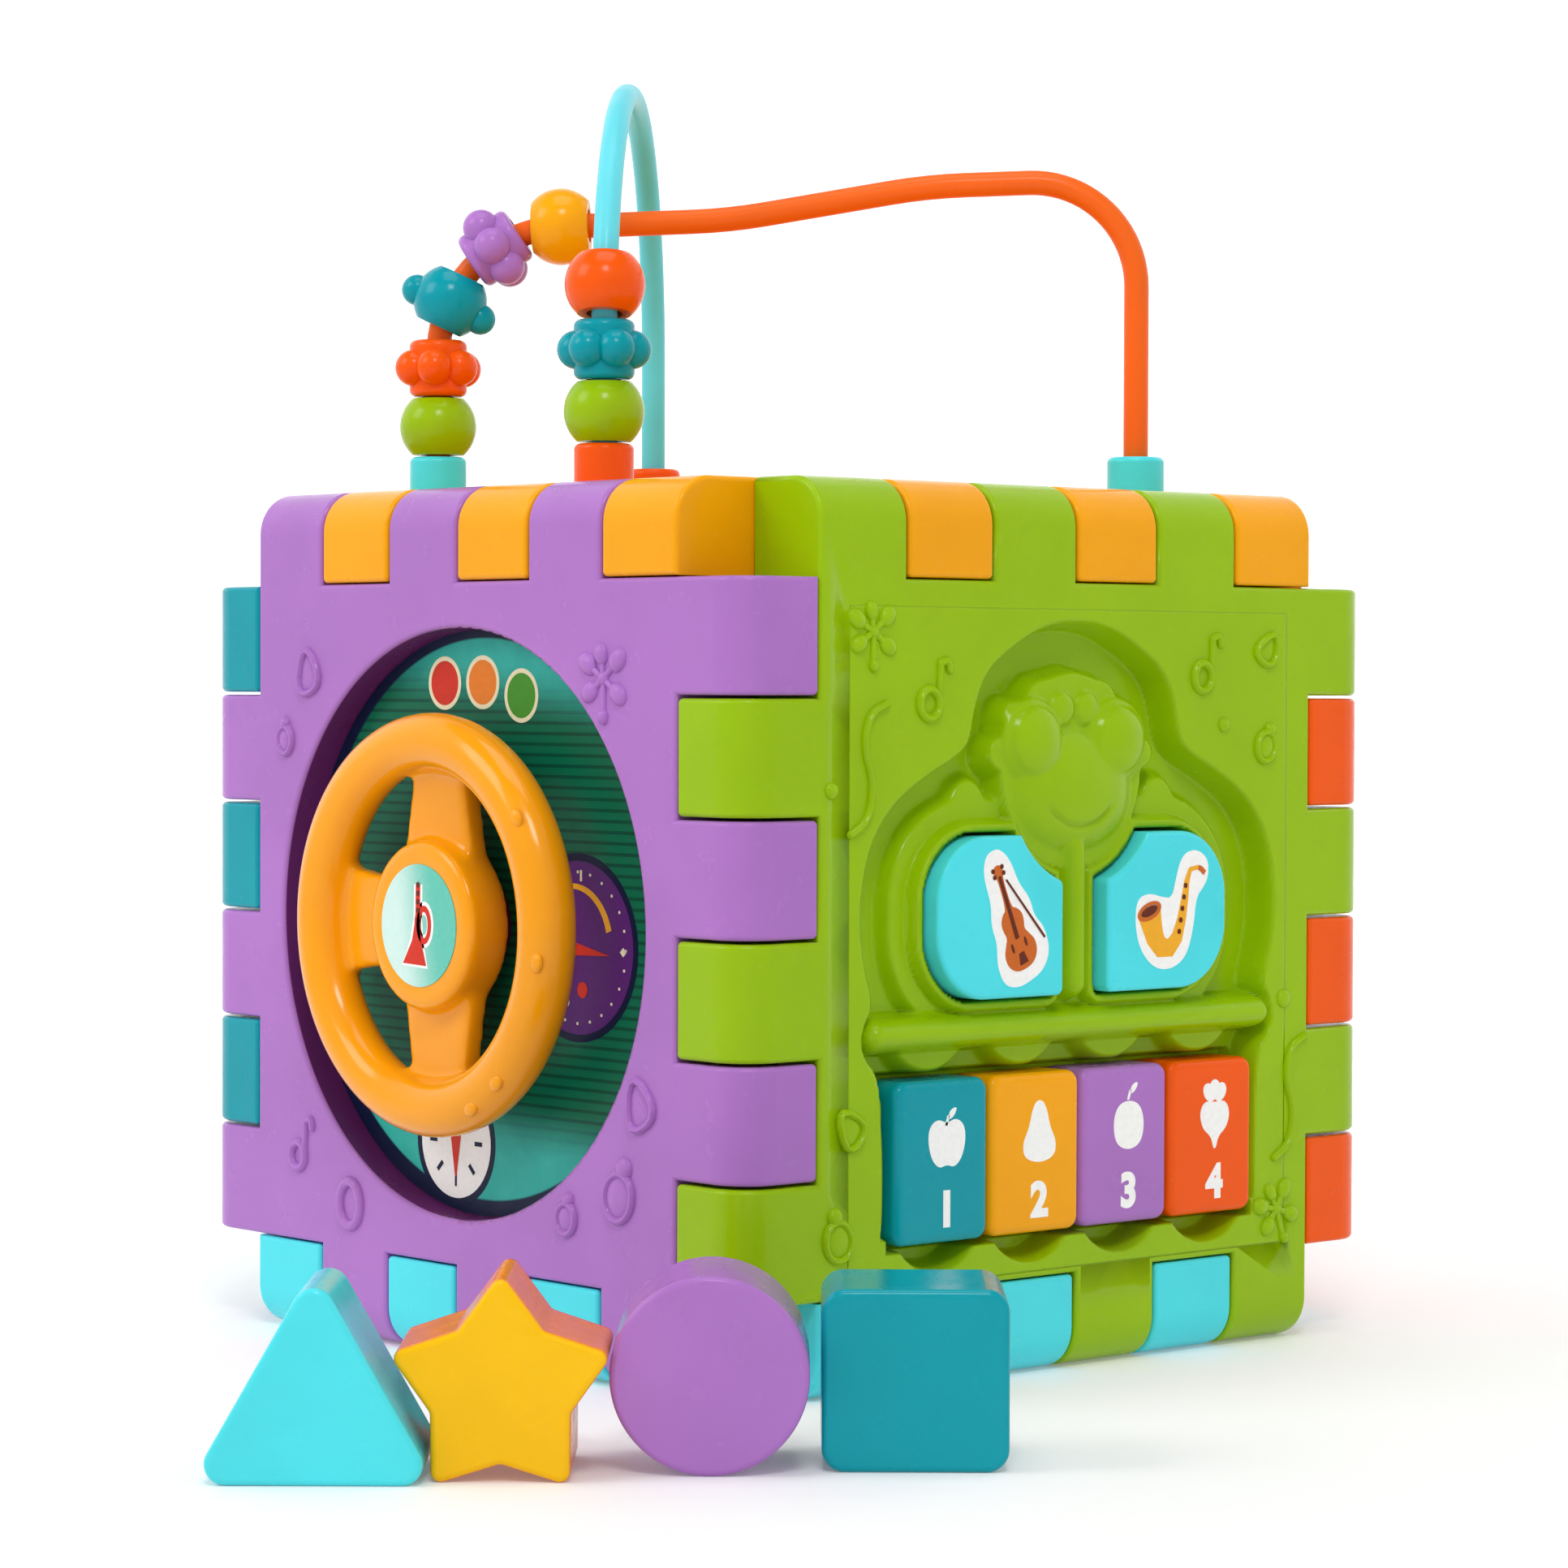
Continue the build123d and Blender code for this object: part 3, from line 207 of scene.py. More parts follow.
def star_plastic():
    """Yellow on the face that looks out of the star, orange on its sides."""
    n = Nodes("star_plastic")
    point, _ = n.position()
    normal = n.put("ShaderNodeNewGeometry").outputs["Normal"]
    heading = math.radians(48.5)
    facing = n.put("ShaderNodeVectorMath", ((0, normal), (1, (math.sin(heading),
                                                               -math.cos(heading), 0))),
                   operation="DOT_PRODUCT").outputs["Value"]
    flow = n.span(n.noise(point, 40.0, 3.0), 0.3, 0.7, 0.93, 1.0)
    tint = n.blend(n.span(facing, 0.35, 0.7, 0.0, 1.0), linear(250, 146, 40), YELLOW)
    n.give(n.shader.inputs["Base Color"],
           n.put("ShaderNodeVectorMath", ((0, tint), ("Scale", flow)),
                 operation="SCALE").outputs[0])
    n.give(n.shader.inputs["Roughness"], n.span(n.noise(point, 160.0), 0.3, 0.7, 0.2, 0.3))
    n.shader.inputs["Specular IOR Level"].default_value = 0.13
    n.shader.inputs["Coat Weight"].default_value = 0.12
    n.shader.inputs["Coat Roughness"].default_value = 0.1
    return n.material


def dial_print():
    """The dashboard card: teal above and below, dark green with fine lines, navy rim. The dark green
    band is print; its wide soft edges are partly painted shadow of the wheel.
    """
    n = Nodes("dial_print")
    point, (x, _, z) = n.position()
    u = n.math("MULTIPLY", x, 1000.0)
    v = n.math("MULTIPLY_ADD", z, 1000.0, -HALF)
    off_band = n.math("ABSOLUTE", n.math("MULTIPLY_ADD", u, 0.10, n.math("ADD", v, -4.5)))
    # dark: the printed dark green band, its soft edges partly painted shadow cast by the wheel
    dark = n.span(off_band, 37.0, 50.0, 1.0, 0.0)
    stripe = n.math("FRACT", n.math("DIVIDE", v, 2.1))
    line = n.math("MULTIPLY", n.math("LESS_THAN", stripe, 0.32), 0.75)
    mottled = n.noise(point, 300.0, 3.0)
    teal_ink = n.blend(mottled, linear(58, 190, 176), linear(44, 168, 158))
    ground = n.blend(line, linear(4, 104, 74), linear(2, 62, 50))
    inside = n.blend(dark, teal_ink, ground)
    du = n.math("ADD", u, -1.2)
    dv = n.math("ADD", v, -0.8)
    reach = n.math("SQRT", n.math("ADD", n.math("MULTIPLY", du, du), n.math("MULTIPLY", dv, dv)))
    n.give(n.shader.inputs["Base Color"], n.blend(n.span(reach, 55.9, 56.5, 0.0, 1.0), inside, NAVY))
    n.give(n.shader.inputs["Roughness"], n.span(mottled, 0.3, 0.7, 0.30, 0.42))
    n.shader.inputs["Specular IOR Level"].default_value = 0.15
    return n.material


def badge_print():
    """The hub's round label: pale on the left, teal on the right."""
    n = Nodes("badge_print")
    point, (x, _, z) = n.position()
    side = n.math("MULTIPLY_ADD", z, 120.0, n.math("MULTIPLY", x, 700.0))
    cloud = n.noise(point, 500.0, 3.0)
    tint = n.blend(n.span(side, 5.0, 15.0, 0.0, 1.0), linear(214, 240, 232), linear(96, 196, 176))
    n.give(n.shader.inputs["Base Color"], n.blend(n.math("MULTIPLY", cloud, 0.15), tint,
                                                  linear(96, 196, 176)))
    n.give(n.shader.inputs["Roughness"], n.span(cloud, 0.3, 0.7, 0.22, 0.32))
    n.shader.inputs["Specular IOR Level"].default_value = 0.2
    n.shader.inputs["Coat Weight"].default_value = 0.2
    return n.material


def recess_plastic():
    """Purple plastic with painted shade: it turns plum inside the round recess, where shade falls."""
    n = Nodes("recess_plastic")
    point, (x, y, z) = n.position()
    flow = n.noise(point, 26.0, 3.0)
    cloud = n.noise(point, 160.0, 3.0)
    fine = n.noise(point, 2400.0, 2.0)
    dz = n.math("ADD", z, -HALF * MM)
    reach = n.math("SQRT", n.math("ADD", n.math("MULTIPLY", x, x), n.math("MULTIPLY", dz, dz)))
    shade_inside_rim = n.math("LESS_THAN", reach, 0.0593)
    shade_behind_face = n.math("GREATER_THAN", y, -0.0868)
    outer = n.blend(n.span(flow, 0.3, 0.7, 0.0, 1.0), PURPLE, shaded(PURPLE, 0.9))
    # painted shade: inside the rim and behind the panel's face the purple is swapped for plum
    n.give(n.shader.inputs["Base Color"],
           n.blend(n.math("MULTIPLY", shade_inside_rim, shade_behind_face), outer, linear(112, 44, 116)))
    n.give(n.shader.inputs["Roughness"], n.span(cloud, 0.3, 0.7, 0.19, 0.28))
    n.shader.inputs["Specular IOR Level"].default_value = 0.13
    n.shader.inputs["Coat Weight"].default_value = 0.12
    n.shader.inputs["Coat Roughness"].default_value = 0.1
    height = n.math("MULTIPLY_ADD", cloud, 1.4, fine)
    bump = n.put("ShaderNodeBump", (("Height", height), ("Strength", 0.10),
                                    ("Distance", 0.00005)))
    n.give(n.shader.inputs["Normal"], bump.outputs[0])
    return n.material


PAINT = {
    "steering_panel": recess_plastic(), "dial_card": dial_print(), "wheel_badge": badge_print(),
    "steering_wheel": wheel_amber, "piano_panel": green, "piano_back_cover": green,
    "battery_door": green, "key_teal": teal, "key_yellow": amber, "key_purple": purple,
    "key_orange": orange, "wing_button_left": cyan, "wing_button_right": cyan,
    "key_pad": silicone, "circuit_board": board_green, "speaker": dark_plastic,
    "power_switch": dark_plastic, "batteries": cell_blue,
    "bead_panel": amber, "orange_wire": orange_coat, "cyan_wire": cyan_coat,
    "cyan_sockets": cyan, "orange_sockets": orange, "arch_bead_green": green,
    "arch_bead_teal": teal, "arch_bead_orange": orange, "rail_bead_green": green,
    "rail_bead_orange": orange, "rail_bead_teal": teal, "rail_bead_purple": purple,
    "rail_bead_yellow": amber, "block_triangle": cyan, "block_triangle_back": cyan,
    "block_star": star_plastic(), "block_star_back": orange, "block_disc": purple,
    "block_disc_back": purple, "block_square": teal, "block_square_back": teal,
    "sorter_panel": teal, "gear_panel": orange, "gear_large": amber, "gear_middle": purple,
    "gear_small": green, "gear_caps": cyan, "base_panel": cyan,
}
for node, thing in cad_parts.items():
    thing.data.materials.clear()
    thing.data.materials.append(PAINT.get(node, steel))

# ------------------------------------------------------------------ mesh helpers


def finish_piece(name, mesh, material, body, angle=40):
    """Turns a bmesh into a piece that rides on a body."""
    data = bpy.data.meshes.new(name)
    mesh.normal_update()
    mesh.to_mesh(data)
    mesh.free()
    thing = bpy.data.objects.new(name, data)
    bpy.context.scene.collection.objects.link(thing)
    data.materials.append(material)
    data.shade_smooth()
    data.set_sharp_from_angle(angle=math.radians(angle))
    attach(thing, body)
    return thing


def slab(mesh, face, points, out, thick=0.06):
    """A flat closed shape, thick mm high, that lies on a face at out mm."""
    top = [mesh.verts.new(on_face(face, u, v, out + thick)) for u, v in points]
    low = [mesh.verts.new(on_face(face, u, v, out - 0.02)) for u, v in points]
    mesh.faces.new(top)
    mesh.faces.new(low[::-1])
    for i in range(len(points)):
        j = (i + 1) % len(points)
        mesh.faces.new((top[j], top[i], low[i], low[j]))


def band(mesh, face, inner, outer, out, thick=0.06):
    """A flat closed ring between two outlines with as many points."""
    loops = [[mesh.verts.new(on_face(face, u, v, lift)) for u, v in line]
             for line, lift in ((inner, out + thick), (outer, out + thick),
                                (outer, out - 0.02), (inner, out - 0.02))]
    for a, b in zip(loops, loops[1:] + loops[:1]):
        for i in range(len(a)):
            j = (i + 1) % len(a)
            mesh.faces.new((a[i], a[j], b[j], b[i]))


def arc(u, v, radius, start=0.0, stop=360.0, count=48, squeeze=1.0):
    """Points along an arc; a whole circle leaves its last point out."""
    whole = abs(stop - start) >= 360
    steps = count if whole else count + 1
    turns = [math.radians(start + (stop - start) * k / count) for k in range(steps)]
    return [(u + radius * math.cos(t), v + radius * squeeze * math.sin(t)) for t in turns]


def turned(points, degrees, u=0.0, v=0.0, scale=1.0):
    """Points turned and scaled about (0, 0), then moved to (u, v)."""
    c, s = math.cos(math.radians(degrees)), math.sin(math.radians(degrees))
    return [(u + scale * (a * c - b * s), v + scale * (a * s + b * c)) for a, b in points]


def curved(points, rounds=3, closed=True):
    """Rounds a polygon's corners by cutting them again and again."""
    for _ in range(rounds):
        cut = []
        ends = list(zip(points, points[1:] + points[:1])) if closed else list(zip(points, points[1:]))
        for (a, b), (c, d) in ends:
            cut += [(0.75 * a + 0.25 * c, 0.75 * b + 0.25 * d),
                    (0.25 * a + 0.75 * c, 0.25 * b + 0.75 * d)]
        points = cut if closed else [points[0]] + cut + [points[-1]]
    return points


def grown(points, amount):
    """A closed outline, counter-clockwise, moved outwards by amount."""
    line = np.array(points)
    before, after = np.roll(line, 1, 0), np.roll(line, -1, 0)
    along = after - before
    along /= np.linalg.norm(along, axis=1)[:, None]
    return [tuple(p) for p in line + amount * np.stack((along[:, 1], -along[:, 0]), 1)]


def ribbon(line, widths):
    """The outline of a stroke along a line, with a width at each point."""
    line = np.array(line, float)
    along = np.gradient(line, axis=0)
    along /= np.linalg.norm(along, axis=1)[:, None]
    side = np.stack((-along[:, 1], along[:, 0]), 1) * (np.array(widths, float) / 2)[:, None]
    return [tuple(p) for p in np.vstack((line - side, (line + side)[::-1]))]


def dome(mesh, face, u, v, a, b=None, height=0.8, turn=0.0, out=0.0, rings=5, count=18):
    """A low rounded bump with half axes a and b, its foot a little below the face."""
    b = a if b is None else b
    c, s = math.cos(math.radians(turn)), math.sin(math.radians(turn))
    loops = []
    for ring in range(rings):
        rise = math.radians(90 * ring / rings)
        reach, lift = math.cos(rise), math.sin(rise) * height
        loop = []
        for k in range(count):
            t = 2 * math.pi * k / count
            p, q = a * reach * math.cos(t), b * reach * math.sin(t)
            loop.append(mesh.verts.new(on_face(face, u + p * c - q * s, v + p * s + q * c,
                                               out + lift - 0.15)))
        loops.append(loop)
    foot = [mesh.verts.new(vert.co - Vector(FACES[face][3]) * 0.3 * MM) for vert in loops[0]]
    mesh.faces.new(foot[::-1])
    tip = mesh.verts.new(on_face(face, u, v, out + height - 0.15))
    for low_loop, high_loop in zip([foot] + loops, loops):
        for i in range(count):
            j = (i + 1) % count
            mesh.faces.new((low_loop[i], low_loop[j], high_loop[j], high_loop[i]))
    for i in range(count):
        mesh.faces.new((loops[-1][i], loops[-1][(i + 1) % count], tip))


def bead_line(mesh, face, line, radius=0.75, height=0.75, closed=False, out=0.0, sides=10):
    """A raised rounded line along points on a face."""
    points = np.array(line, float)
    if closed:
        along = np.roll(points, -1, 0) - np.roll(points, 1, 0)
    else:
        along = np.gradient(points, axis=0)
    along /= np.linalg.norm(along, axis=1)[:, None]
    loops = []
    for (u, v), (a, b) in zip(points, along):
        loop = []
        for k in range(sides):
            t = 2 * math.pi * k / sides
            w, h = radius * math.cos(t), height * math.sin(t)
            loop.append(mesh.verts.new(on_face(face, u - b * w, v + a * w, out + h)))
        loops.append(loop)
    pairs = list(zip(loops, loops[1:]))
    if closed:
        pairs.append((loops[-1], loops[0]))
    for first, second in pairs:
        for i in range(sides):
            j = (i + 1) % sides
            mesh.faces.new((first[i], first[j], second[j], second[i]))
    if not closed:
        mesh.faces.new(loops[0][::-1])
        mesh.faces.new(loops[-1])
        for (u, v) in (points[0], points[-1]):
            dome(mesh, face, u, v, radius, height=height + 0.15, out=out)


# --------------------------------------------------------- raised shapes on panels


def puff(mesh, face, outline, height=1.0, rings=5):
    """A cushion over a closed outline, its foot a little below the face."""
    middle = np.mean(np.array(outline), axis=0)
    loops = []
    for ring in range(rings + 1):
        rise = math.radians(84 * ring / rings)
        reach, lift = math.cos(rise), math.sin(rise) * height - 0.2
        loops.append([mesh.verts.new(on_face(face, middle[0] + (u - middle[0]) * reach,
                                             middle[1] + (v - middle[1]) * reach, lift))
                      for u, v in outline])
    mesh.faces.new(loops[0][::-1])
    mesh.faces.new(loops[-1])
    for low_loop, high_loop in zip(loops, loops[1:]):
        for i in range(len(outline)):
            j = (i + 1) % len(outline)
            mesh.faces.new((low_loop[i], low_loop[j], high_loop[j], high_loop[i]))


def flower(mesh, face, u, v, size, turn=0):
    """Five fat petals and a small heart, with a drop hanging under it."""
    dome(mesh, face, u, v, size * 0.2, height=1.3)
    for angle, reach, petal in ((40, 0.72, 0.34), (98, 0.62, 0.28), (150, 0.74, 0.34),
                                (212, 0.66, 0.32), (325, 0.7, 0.33), (270, 0.98, 0.2)):
        t = math.radians(angle + turn)
        end = (u + size * reach * math.cos(t), v + size * reach * math.sin(t))
        bead_line(mesh, face, [(u, v), ((u + end[0]) / 2, (v + end[1]) / 2), end], 0.7, 0.7)
        dome(mesh, face, *end, size * petal * 1.1, size * petal * 0.85, 1.5, angle + turn)


def note(mesh, face, u, v, size, turn=0):
    """A music note with a fat ring for its head, a stem and a flag."""
    head = turned(arc(0, 0, 0.3, squeeze=1.1, count=20), turn, 0, 0, size)
    head = [(a + u - 0.16 * size, b + v - 0.5 * size) for a, b in head]
    bead_line(mesh, face, head, 0.95, 1.15, closed=True)
    stem = [(u + 0.12 * size, v - 0.35 * size), (u + 0.15 * size, v), (u + 0.18 * size, v + 0.42 * size)]
    bead_line(mesh, face, stem, 0.75, 0.9)
    flag = [(u + 0.18 * size, v + 0.42 * size), (u + 0.42 * size, v + 0.5 * size),
            (u + 0.46 * size, v + 0.26 * size)]
    bead_line(mesh, face, curved(flag, 2, closed=False), 0.85, 1.0)


def wedge(mesh, face, u, v, size, turn=0):
    """A puffed triangle with a raised edge."""
    corners = turned([(-0.6, -0.55), (0.62, -0.4), (0.02, 0.85)], turn, u, v, size)
    outline = curved(corners, 2)
    puff(mesh, face, outline, 0.7)
    bead_line(mesh, face, outline, 0.8, 1.15, closed=True)


def pear(mesh, face, u, v, size, turn=0):
    """A drop with a fat rim and a small knob on top."""
    outline = turned(arc(0, 0, 0.4, squeeze=1.15, count=22), turn, u, v, size)
    puff(mesh, face, outline, 1.2)
    bead_line(mesh, face, outline, 0.8, 1.1, closed=True)
    t = math.radians(90 + turn)
    dome(mesh, face, u + size * 0.58 * math.cos(t), v + size * 0.58 * math.sin(t), size * 0.24,
         size * 0.24, 1.5)


def hoop(mesh, face, u, v, size, turn=0):
    """A plain fat ring."""
    outline = turned(arc(0, 0, 0.5, squeeze=1.3, count=28), turn, u, v, size)
    bead_line(mesh, face, outline, 1.15, 1.25, closed=True)


def squiggle(mesh, face, u, v, size, turn=0):
    """A long S-shaped streamer."""
    line = [(0.3, 0.95), (-0.05, 0.8), (-0.15, 0.3), (0.05, -0.2), (-0.05, -0.75), (-0.4, -0.95)]
    bead_line(mesh, face, curved(turned(line, turn, u, v, size), 3, closed=False), 0.85, 1.1)


def dot(mesh, face, u, v, size, turn=0):
    """A small round bump."""
    dome(mesh, face, u, v, size / 2, height=1.3, turn=turn)


# Each panel's body, paint, slot and shapes: (draw, u, v, size, turn).
RELIEF = {
    "front": ("cube", PAINT["steering_panel"], "purple_plastic", (
        (wedge, -50, 50, 8.5, 10), (flower, 47, 49, 7.5, 0), (pear, -58, 36, 6.0, 0),
        (note, -52, -46.5, 8.0, 0), (hoop, -35, -59, 7.0, 0), (pear, 36, -55.5, 6.5, -10),
        (pear, 52, -50, 10.0, -15), (wedge, 58, -32, 9.0, 20))),
    "right": ("cube", green, "green_plastic", (
        (flower, -55, 58, 6.5, 0), (note, -39, 48.6, 8.5, 0), (note, 37, 54, 8.5, 0),
        (wedge, 55, 55.5, 6.5, -35), (pear, 54.5, 35.5, 6.5, -20), (dot, 42, 40, 3.2, 0),
        (squiggle, -55.5, 32, 13.0, 0), (dot, -65.5, 28, 3.4, 0), (wedge, -60.5, -36, 7.0, 40),
        (pear, -63.5, -57, 8.0, 10), (dot, 60.5, -16.6, 4.0, 0), (squiggle, 63, -37, 13.0, 0),
        (flower, 58.5, -60, 6.5, 20))),
    "left": ("cube", teal, "teal_plastic", (
        (flower, 0, 52, 7.5, 0), (note, 0, 0, 9.0, 0), (hoop, -54, 0, 7.0, 0),
        (wedge, 55, 3, 8.0, 10), (pear, 0, -52, 9.0, 15), (squiggle, -60, 45, 12.0, 0))),
    "top": ("lid", amber, "amber_plastic", (
        (flower, 35, -35, 10.0, 0), (note, -38, 38, 10.0, 0), (hoop, 10, 50, 8.0, 0),
        (wedge, 55, 10, 9.0, 20), (pear, -56, -5, 9.0, 10), (squiggle, 18, -2, 12.0, 30))),
}
for face, (body, paint, slot_name, shapes) in RELIEF.items():
    raised = bmesh.new()
    for shape, u, v, size, turn in shapes:
        shape(raised, face, u, v, size, turn)
    finish_piece(f"relief_{face}", raised, paint, body)

# ------------------------------------------------------------------------- prints


def print_piece(name, material, body, draw):
    """One ink of a print: draw adds its shapes to a mesh."""
    mesh = bmesh.new()
    draw(mesh)
    return finish_piece(name, mesh, material, body)


CARD_OUT = -6.6         # the dial card's face, behind the panel's face
INK = 0.06              # each ink lies this much above the one under it
LAMPS = ((-12, 48, red_ink, "red"), (0.5, 48.2, orange_ink, "orange"), (13, 45.6, green_ink, "green"))
for u, v, ink, word in LAMPS:
    print_piece(f"lamp_{word}", ink, "cube",
                lambda m: slab(m, "front", arc(u, v, 4.5), CARD_OUT))
print_piece("lamp_rims", cream_ink, "cube",
            lambda m: [band(m, "front", arc(u, v, 4.5), arc(u, v, 5.4), CARD_OUT)
                       for u, v, _, _ in LAMPS])

GAUGE = (31.0, -3.5, 17.0)
COMPASS = (-8.0, -44.5, 11.4)


def gauge_rims(mesh):
    """The dark rings round the gauge and the compass."""
    for u, v, radius in (GAUGE, COMPASS):
        band(mesh, "front", arc(u, v, radius), arc(u, v, radius + 1.5), CARD_OUT)


def gauge_ticks(mesh):
    """The gauge's ring of dots, three lamps, its top tick and a diamond."""
    u, v, radius = GAUGE
    for k in range(24):
        angle = math.radians(15 * k)
        reach = radius - 2.2
        slab(mesh, "front", arc(u + reach * math.cos(angle), v + reach * math.sin(angle), 0.32,
                                count=10), CARD_OUT + INK)
    for k in range(3):
        slab(mesh, "front", arc(u - 4.6 + 0.6 * k, v - 6 - 2.4 * k, 0.9, count=14), CARD_OUT + INK)
    slab(mesh, "front", turned([(-0.3, 0), (0.3, 0), (0.3, 2.2), (-0.3, 2.2)], 0, u + 1, v + 13),
         CARD_OUT + INK)
    slab(mesh, "front", turned([(-1.0, 0), (0, 0.9), (1.0, 0), (0, -0.9)], 0, u + 14, v - 0.3),
         CARD_OUT + INK)


def compass_ticks(mesh):
    """The compass's short marks."""
    u, v, radius = COMPASS
    for angle in (0, 45, 90, 135, 180, 225, 315):
        mark = turned([(-0.45, 6.2), (0.45, 6.2), (0.45, 8.6), (-0.45, 8.6)], angle - 90, u, v)
        slab(mesh, "front", mark, CARD_OUT + INK)
    slab(mesh, "front", turned([(-0.3, -5), (0.3, -5), (0.3, -9), (-0.3, -9)], 0, u, v),
         CARD_OUT + INK)


def needles(mesh):
    """Both needles with their hubs."""
    u, v, _ = GAUGE
    slab(mesh, "front", [(u - 9, v - 0.4), (u - 4, v - 1.6), (u + 10, v - 1.2), (u - 4, v + 1.7)],
         CARD_OUT + 0.12)
    slab(mesh, "front", arc(u - 4, v, 2.3, count=20), CARD_OUT + 0.14)
    slab(mesh, "front", arc(u + 1.6, v - 8.2, 1.6, count=16), CARD_OUT + 0.12)
    u, v, _ = COMPASS
    slab(mesh, "front", [(u - 2.2, v + 4.5), (u - 0.2, v - 7), (u + 0.2, v - 7), (u + 2.2, v + 4.5)],
         CARD_OUT + 0.12)
    slab(mesh, "front", arc(u, v + 4.2, 2.2, 0, 180, 16), CARD_OUT + 0.12)


def gauge_arc(mesh):
    """The gauge's sweep, thicker towards its right end."""
    u, v, _ = GAUGE
    line = arc(u - 1.5, v + 0.5, 11.5, 165, 15, 30)
    slab(mesh, "front", ribbon(line, [0.5 + 1.1 * k / 30 for k in range(31)]), CARD_OUT + INK)


print_piece("gauge_rims", navy_ink, "cube", gauge_rims)
print_piece("gauge_ground", violet_ink, "cube",
            lambda m: slab(m, "front", arc(*GAUGE), CARD_OUT))
print_piece("compass_ground", white_ink, "cube",
            lambda m: slab(m, "front", arc(*COMPASS), CARD_OUT))
print_piece("gauge_marks", cream_ink, "cube", gauge_ticks)
print_piece("compass_marks", navy_ink, "cube", compass_ticks)
print_piece("gauge_needles", red_ink, "cube", needles)
print_piece("gauge_sweep", yellow_ink, "cube", gauge_arc)

BADGE_OUT = 9.0         # the hub label's face
BELL = turned([(-4.6, -7.6), (3.0, -7.9), (1.3, -3.0), (0.9, 1.5), (1.0, 8.0), (-0.4, 8.0),
               (-0.5, 1.5), (-1.6, -3.0)], 0, u=-0.3)
print_piece("badge_halo", white_ink, "wheel", lambda m: (
    slab(m, "front", grown(BELL, 0.7), BADGE_OUT),
    band(m, "front", arc(1.9, 0.2, 1.0, count=24, squeeze=2.0), arc(1.9, 0.2, 3.1, count=24,
                                                                  squeeze=1.5), BADGE_OUT)))
print_piece("badge_horn", red_ink, "wheel", lambda m: (
    slab(m, "front", BELL, BADGE_OUT + INK),
    band(m, "front", arc(1.9, 0.2, 1.3, count=24, squeeze=2.0), arc(1.9, 0.2, 2.4, count=24,
                                                                  squeeze=1.6), BADGE_OUT + INK)))
print_piece("badge_valves", dark_ink, "wheel", lambda m: [
    slab(m, "front", arc(0.0, 3.0 + 1.7 * k, 0.55, count=12), BADGE_OUT + 0.14) for k in range(4)])

# Picture buttons: a violin on the left wing and a saxophone on the right one.
WING_OUT = 2.8          # the wing buttons' faces
VIOLIN = [(0, -10.8), (2.6, -10.4), (4.3, -8.6), (4.5, -6.2), (3.3, -4.3), (2.5, -3.0), (3.0, -1.6),
          (3.1, 0.2), (1.9, 1.8), (0.8, 2.2), (0.7, 8.6), (1.3, 9.6), (1.2, 11.0), (0, 11.7)]
VIOLIN = curved(VIOLIN + [(-a, b) for a, b in VIOLIN[-2:0:-1]], 2)
VIOLIN_AT = dict(degrees=22, u=-20.8, v=2.6, scale=0.98)
HALO = [(0, -13.6), (4.5, -13.0), (7.6, -10), (7.8, -5), (6.0, -1.8), (6.2, 2), (4.4, 6), (4.0, 11),
        (2.2, 14.2), (0, 14.8), (-2.2, 14.2), (-4.0, 11), (-4.0, 5), (-5.6, 1), (-5.4, -3),
        (-7.0, -7), (-6.6, -11.5), (-3.5, -13.4)]
print_piece("violin_halo", white_ink, "wing_left", lambda m: slab(
    m, "right", turned(curved(HALO, 3), **VIOLIN_AT), WING_OUT))
print_piece("violin_body", brown_ink, "wing_left", lambda m: slab(
    m, "right", turned(VIOLIN, **VIOLIN_AT), WING_OUT + INK))
print_piece("violin_trim", dark_ink, "wing_left", lambda m: (
    slab(m, "right", turned([(-0.55, -4.2), (0.55, -4.2), (0.4, 9.2), (-0.4, 9.2)], **VIOLIN_AT),
         WING_OUT + 0.12),
    slab(m, "right", turned([(-1.2, -9.6), (1.2, -9.6), (0.7, -7.2), (-0.7, -7.2)], **VIOLIN_AT),
         WING_OUT + 0.12),
    [slab(m, "right", turned(arc(s * 1.9, -5.6, 0.35, count=12, squeeze=3.0), **VIOLIN_AT),
          WING_OUT + 0.12) for s in (-1, 1)],
    [slab(m, "right", turned(arc(s * 1.3, 10.0 + k, 0.5, count=10), **VIOLIN_AT), WING_OUT + 0.12)
     for s in (-1, 1) for k in (-0.5, 0.8)],
    slab(m, "right", [(-22.6, 10.2), (-22.2, 10.4), (-11.6, -1.0), (-12.0, -1.3)], WING_OUT + 0.16)))

SAX = [(33.2, 10.6), (31.6, 11.4), (29.4, 11.0), (28.4, 8.6), (27.8, 5.0), (26.9, 1.0), (25.6, -2.6),
       (23.6, -4.6), (21.0, -4.4), (19.3, -2.4), (18.3, 0.4), (17.6, 2.6)]
SAX_WIDTHS = [0.8, 0.9, 1.1, 1.5, 2.0, 2.5, 3.2, 3.8, 4.4, 5.0, 5.8, 6.6]
SAX_HALO = [(34.8, 9.6), (34.6, 13.2), (31, 15.2), (27.0, 14.0), (25.2, 9.0), (24.2, 5.4),
            (21.5, 5.6), (17.5, 6.6), (14.0, 5.4), (13.6, 0), (15.2, -5.0), (19.2, -8.6),
            (24.0, -9.0), (28.4, -6.6), (30.4, -1), (31.2, 5.4), (33.4, 7.4)]
print_piece("sax_halo", white_ink, "wing_right", lambda m: slab(
    m, "right", curved(SAX_HALO, 3), WING_OUT))
print_piece("sax_body", yellow_ink, "wing_right", lambda m: slab(
    m, "right", ribbon(SAX, SAX_WIDTHS), WING_OUT + INK))
